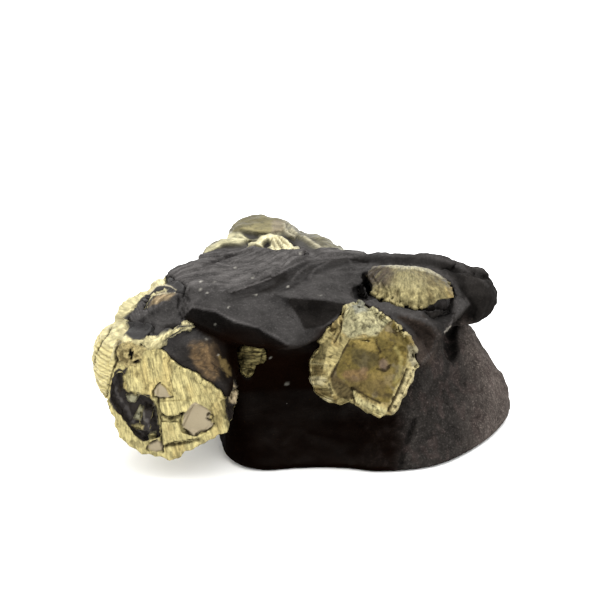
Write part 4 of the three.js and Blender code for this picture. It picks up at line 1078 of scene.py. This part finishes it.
        # Painted shade in the hole at the top
        s.fill((UPPER_HOLE, 1, (0.01, 0.008, 0.006), 0.15))
        s.paint(flank, (0.014, 0.011, 0.009))
        flakes = s.areas(FLAKES, 0.15, 0.1, 0.5)
        s.paint(0.9 * flakes, (0.36, 0.29, 0.18))
        plain = flats + 0.7 * black + 0.5 * laths + 0.7 * covered + 0.35 * upper + 0.4 * lobe
        shine = 1 - 0.97 * black - 0.25 * flats - skin - beside - flank * (1 - flakes)
        s.keep(fibre=fibre, plain=np.clip(plain, 0, 1), shine=np.clip(shine, 0, 1))
        close_gap(s, np.maximum(s.crevice(VEIN_TUBE, 1.3, 0), s.crevice(ARCH, 1, 0)))


class SPECIMEN_OT_middle_nodule(MakesPiece, bpy.types.Operator):
    """Makes the middle nodule: a columnar flank, a pale rim and a rough brown face"""

    bl_idname = "specimen.middle_nodule"
    bl_label = "Middle nodule"
    node_name, piece_name, slot_name = "pyrite_middle", "nodule_middle", "pyrite_brown"
    softening = 9
    look = ("brown pyrite", 0.4, 0.35)

    def shape(self, s, sizes):
        s.fold(MIDDLE_CORNERS, faces_between(MIDDLE_CORNERS, MIDDLE_AROUND, MIDDLE_CREASES), 0.35)
        width = sizes.fibre_width * 1000
        across, along = s.polar((14.5, -13), 9)
        depth = s.points @ BACK
        fibre = strands(width, (across, 1.5), (along, 5), (depth, 8))
        level = strands(width, (s.u, 6), (s.v, 1.1), (depth, 8))
        face = s.area(BROWN_FACE, 0.3, 0.2)
        rim = s.area(RIM_TOP, 0.4, 0.3)
        lines = s.area(FLANK_LINES, 0.6, 0.3) * (1 - face)
        fibre = pick(np.maximum(face, rim), s.points / width / 1.6, pick(lines, level, fibre))
        streaks = smooth_noise(fibre, (1.3, 3, 3), 5) + 0.5 * smooth_noise(fibre, (0.8, 2, 2), 6)
        height = 0.12 * (1 - face) * (1 - rim) * streaks + 0.16 * facets(s.points, 2.2, 73, 12)
        height += 0.12 * rough_noise(s.points, 1.2, 71) * np.clip(face + 1.5 * rim + 0.4, 0, 1)
        s.push(height - 0.12 * face * blotches(s.points, 0.3, 0.65, 0.8, 85, 2))
        cracks, depths = s.cracks(MIDDLE_CREVICES, 0.15)
        height = 0.35 * s.area(BUMP_SPOT, 0.4) + 0.2 * s.crevice(ARC, 0.4)
        height += 0.25 * s.crevice(SHOULDER, 0.45, 0.35)
        chips = blotches(s.points, 0.5, 0.75, 0.9, 75) * (1 - 0.6 * face)
        s.push(height - depths - 0.25 * chips)

        s.colour[:] = (0.33, 0.275, 0.125)
        s.paint(0.6 * blotches(s.points, 0.15, 0.6, 1.8, 79), (0.2, 0.14, 0.05))
        s.paint(0.75 * ease(0.0, -0.4, streaks) * lines, (0.1, 0.07, 0.025))
        s.paint(0.6 * ease(0.0, 0.5, streaks) * lines, (0.5, 0.45, 0.28))
        s.paint(0.85 * rim, (0.3, 0.28, 0.165))
        s.paint(0.5 * blotches(s.points, 0.1, 0.5, 1.0, 77) * rim, (0.19, 0.18, 0.1))
        s.fill((ORANGE_RIM, 0.8, (0.22, 0.16, 0.06), 0.4, 0.3))
        s.paint(face, sizes.brown[:])
        s.paint(0.4 * blotches(s.points, 0.0, 0.6, 2.6, 81) * face, (0.18, 0.13, 0.035))
        s.paint(0.4 * blotches(s.points, 0.15, 0.6, 2.2, 83) * face, (0.15, 0.13, 0.1))
        s.paint(0.6 * blotches(s.points, 0.3, 0.65, 0.8, 85, 2) * face, (0.04, 0.029, 0.013))
        for outline, strength, target in MIDDLE_PATCHES:
            s.fill((outline, strength, target, 0.35, 0.3, 0.9))
        s.trace((ARC, 0.6, (0.24, 0.2, 0.07), 0.5), (SHOULDER, 0.8, (0.42, 0.36, 0.18), 0.45, 0.35))
        # Painted shade: the cracks and chips are painted near black
        s.paint(0.9 * np.maximum(cracks, 0.7 * chips), (0.028, 0.019, 0.009))
        s.keep(fibre=fibre, plain=0.35 * face, shine=1 - 0.5 * face)
        close_gap(s)


class SPECIMEN_OT_right_nodule(MakesPiece, bpy.types.Operator):
    """Makes the right nodule, an olive dome with a hackly lower edge"""

    bl_idname = "specimen.right_nodule"
    bl_label = "Right nodule"
    node_name, piece_name, slot_name = "pyrite_right", "nodule_right", "pyrite_olive"
    softening = 7
    look = ("olive pyrite", 0.4, 0.3)

    def shape(self, s, sizes):
        across, along = s.polar((22, 12), 10)
        fibre = strands(sizes.fibre_width * 1000, (across, 1), (along, 2.5), (s.points[:, 1], 3))
        low = ease(3.2, 0, s.v) * ease(31, 28, s.u)
        height = 0.13 * smooth_noise(fibre, (1.6, 2, 2), 5) * (0.3 + low)
        height += (0.05 + 0.06 * low) * rough_noise(s.points, 0.9, 91)
        height += 0.12 * facets(s.points, 2.4, 93, 10)
        hooks = s.crevices(RIGHT_HOOKS, 0.22, 0.25)
        rest = 1 - s.area(RIGHT_OUTLINE, 0.12, 0.25, 0.8)
        rest *= np.maximum(ease(4, 2, s.v), ease(15, 14, s.u))
        s.push((height - 0.3 * hooks) * (1 - rest) - 0.8 * rest)

        s.colour[:] = (0.085, 0.068, 0.033)
        s.fill(
            (PALE_HEART, 0.9, (0.19, 0.166, 0.084), 2, 0.8), (BLUE_SHEEN, 0.9, (0.05, 0.039, 0.029), 1.2, 0.6)
        )
        s.paint(0.35 * blotches(fibre, 0.0, 0.5, (1.5, 2.5, 3), 99, 2), (0.19, 0.168, 0.09))
        s.paint(0.7 * blotches(fibre, 0.1, 0.6, (3, 2, 3), 95) * low, (0.38, 0.33, 0.17))
        s.paint(0.6 * blotches(s.points, 0.0, 0.4, 1.1, 97) * low, (0.045, 0.033, 0.014))
        s.fill((ORANGE_SPOT, 0.6, (0.26, 0.17, 0.05), 0.4, 0.3))
        # Painted shade in the hooked grooves
        s.paint(0.7 * hooks, (0.02, 0.016, 0.01))
        s.trace((RIGHT_GLEAM, 0.5, (0.4, 0.37, 0.25), 0.4, 0.15))
        margin = ease(3.2, 0.6, s.v - 0.12 * np.abs(s.u - 22)) * ease(31.5, 29, s.u)
        s.paint(0.45 * margin, (0.34, 0.29, 0.135))
        teeth = ease(0.05, 0.5, smooth_noise(fibre, (1.3, 5, 3), 98)) * margin
        s.paint(0.65 * teeth, (0.05, 0.035, 0.014))
        s.paint(rest, (0.013, 0.011, 0.01))
        s.keep(fibre=fibre, plain=np.zeros(len(rest)), shine=1 - rest)
        close_gap(s, rest)


class SPECIMEN_OT_back_cluster(MakesPiece, bpy.types.Operator):
    """Makes the pale ribbed knobs at the back of the top"""

    bl_idname = "specimen.back_cluster"
    bl_label = "Back cluster"
    node_name, piece_name, slot_name = "pyrite_back", "cluster_back", "pyrite_grey"
    coarseness = 1.3
    softening = 3
    look = ("grey pyrite", 0.3, 0.25)

    def shape(self, s, sizes):
        width = sizes.fibre_width * 1000
        x, y, z = (s.points - BACK_MIDDLE).T
        turn, rise = np.arctan2(x, y), np.arctan2(z, np.hypot(x, y))
        out = np.sqrt(x * x + y * y + z * z)
        fibre = strands(width, (turn * 14, 1.6), (rise * 14, 6), (out, 4))
        level = strands(width, (s.u, 7), (s.v, 1.4), (s.points[:, 1], 8))
        hood = s.area(BACK_CAP, 0.3, 0.15)
        fibre = pick(hood, level, fibre)
        fan = s.area(FAN, 0.25, 0.15)
        gap = s.area(FAN_GAP, 0.2, 0.1)
        ribs = s.crevices(BACK_RIBS, 0.3, 0.1)
        lines = s.crevices(FAN_LINES, 0.16, 0.08)
        slit = s.crevice(BLACK_SLIT, 0.35, 0.05)
        slate = s.area(UNDER_BROW, 0.3, 0.1) + s.area(SLATE_LEFT, 0.3, 0.2) + s.area(SLATE_RIGHT, 0.4, 0.2)
        slate = np.clip(slate, 0, 1) * (1 - fan) * (1 - ribs) * (1 - hood)
        height = 0.1 * smooth_noise(fibre, (2.6, 1.5, 2), 5) + 0.16 * rough_noise(s.points, 1.8, 101)
        height += 0.25 * facets(s.points, 3.4, 103, 10)
        height += 0.5 * hood + 0.6 * fan + 0.35 * ribs + 0.3 * s.area(BACK_LEFT, 0.3, 0.15)
        s.push(height - 0.5 * slate - 1.2 * gap - 0.6 * slit - 0.3 * lines)

        s.colour[:] = (0.16, 0.147, 0.1)
        s.paint(0.6 * blotches(s.points, -0.1, 0.5, 5.0, 105), (0.2, 0.187, 0.125))
        s.paint(0.4 * blotches(s.points, 0.2, 0.6, 1.6, 107), (0.1, 0.088, 0.05))
        s.fill((BACK_EDGE, 0.9, (0.085, 0.077, 0.05), 0.4, 0.2))
        s.paint(0.9 * hood, (0.125, 0.108, 0.052))
        s.fill(
            (BACK_BROW, 0.7, (0.17, 0.142, 0.1), 0.4, 0.2), (BACK_LEFT, 0.9, (0.43, 0.4, 0.25), 0.3, 0.15),
            (BACK_TIP, 0.8, (0.22, 0.215, 0.17), 0.4, 0.2),
        )
        s.paint(0.95 * slate, (0.03, 0.028, 0.026))
        s.paint(0.9 * ribs, (0.28, 0.255, 0.18))
        s.paint(0.95 * fan, (0.46, 0.425, 0.27))
        s.paint(0.7 * lines, (0.12, 0.09, 0.035))
        s.paint(gap, (0.035, 0.033, 0.031))
        # Painted shade in the slit
        s.paint(slit, (0.008, 0.006, 0.005))
        plain = np.clip(0.7 * slate + 0.4 * fan + gap, 0, 1)
        s.keep(fibre=fibre, plain=plain, shine=np.clip(1 - slate - gap, 0, 1))
        close_gap(s)


class SPECIMEN_OT_recess_crystals(MakesPiece, bpy.types.Operator):
    """Makes the small striped crystals at the back of the recess"""

    bl_idname = "specimen.recess_crystals"
    bl_label = "Recess crystals"
    node_name, piece_name, slot_name = "pyrite_small", "crystals_small", "pyrite_dull"
    coarseness = 0.8
    softening = 1
    look = ("dull pyrite", 0.8, 0.4)

    def shape(self, s, sizes):
        fibre = strands(sizes.fibre_width * 1000, (s.v, 1), (s.u, 5), (s.points[:, 1], 3))
        s.push(0.12 * smooth_noise(fibre, (1.6, 1.2, 2), 5) + 0.08 * rough_noise(s.points, 0.8, 111))
        s.colour[:] = (0.2, 0.167, 0.07)
        s.paint(0.6 * blotches(s.points, 0, 0.5, 1.4, 113), (0.07, 0.05, 0.018))
        s.keep(fibre=fibre, plain=np.zeros(len(fibre)), shine=np.ones(len(fibre)))
        close_gap(s)


class SPECIMEN_OT_stage(bpy.types.Operator):
    """Sets up the floor, the lights and the camera"""

    bl_idname = "specimen.stage"
    bl_label = "Stage"

    def execute(self, context):
        scene = context.scene
        settings = scene.specimen_stage
        half = settings.floor_size / 2
        mesh = bpy.data.meshes.new("floor")
        corners = [(-half, -half, 0), (half, -half, 0), (half, half, 0), (-half, half, 0)]
        mesh.from_pydata(corners, [], [(0, 1, 2, 3)])
        floor = added("floor", mesh, (0, 0, FLOOR_LEVEL))
        finish = Finish("pale floor")
        speckle = finish.range(finish.noise(finish.place, 40, 2), 0.3, 0.7, 0.99, 1.0)
        colour = finish.mix(1.0, tuple(settings.floor_colour[:]), speckle, "MULTIPLY")
        finish.give(Base_Color=colour, Roughness=0.9, Specular_IOR_Level=0.1)
        mesh.materials.append(finish.material)
        light = bpy.data.lights.new("overhead", "AREA")
        light.shape = "RECTANGLE"
        light.size, light.size_y = LAMP_SIZE
        light.energy = settings.overhead
        lamp = added("overhead", light, LAMP_PLACE)
        lamp.rotation_euler = Vector(LAMP_PLACE).to_track_quat("Z", "Y").to_euler()
        world = bpy.data.worlds.new("surround")
        world.use_nodes = True
        background = world.node_tree.nodes["Background"]
        background.inputs["Color"].default_value = (1, 1, 1, 1)
        background.inputs["Strength"].default_value = settings.surround
        scene.world = world
        view = bpy.data.cameras.new("camera")
        view.lens, view.sensor_width = VIEW_LENS, VIEW_SENSOR
        view.clip_start = 0.01
        camera = added("camera", view, EYE)
        camera.rotation_mode = "QUATERNION"
        camera.rotation_quaternion = Vector(-BACK).to_track_quat("-Z", "Y")
        scene.camera = camera
        scene.view_settings.view_transform = "Standard"
        return {"FINISHED"}


class SPECIMEN_PT_panel(bpy.types.Panel):
    """Lists the specimen's settings and the pieces it can make"""

    bl_idname = "SPECIMEN_PT_panel"
    bl_label = "Pyrite specimen"
    bl_space_type = "VIEW_3D"
    bl_region_type = "UI"
    bl_category = "Specimen"

    def draw(self, context):
        for group, owner in SETTINGS.items():
            box = self.layout.box()
            for name in owner.__annotations__:
                box.prop(getattr(context.scene, group), name)
        for operator in PIECES:
            self.layout.operator(operator.bl_idname)


SETTINGS = {
    "specimen_shale": ShaleSettings,
    "specimen_pyrite": PyriteSettings,
    "specimen_stage": StageSettings,
}
PIECES = [
    SPECIMEN_OT_shale,
    SPECIMEN_OT_left_nodule,
    SPECIMEN_OT_middle_nodule,
    SPECIMEN_OT_right_nodule,
    SPECIMEN_OT_back_cluster,
    SPECIMEN_OT_recess_crystals,
    SPECIMEN_OT_stage,
]


def register():
    for made in [*SETTINGS.values(), *PIECES, SPECIMEN_PT_panel]:
        bpy.utils.register_class(made)
    for group, owner in SETTINGS.items():
        setattr(bpy.types.Scene, group, PointerProperty(type=owner))


def unregister():
    for group in SETTINGS:
        delattr(bpy.types.Scene, group)
    for made in reversed([*SETTINGS.values(), *PIECES, SPECIMEN_PT_panel]):
        bpy.utils.unregister_class(made)


def main():
    register()
    bpy.ops.specimen.shale()
    bpy.ops.specimen.left_nodule()
    bpy.ops.specimen.middle_nodule()
    bpy.ops.specimen.right_nodule()
    bpy.ops.specimen.back_cluster()
    bpy.ops.specimen.recess_crystals()
    bpy.ops.specimen.stage()


if __name__ == "__main__":
    main()
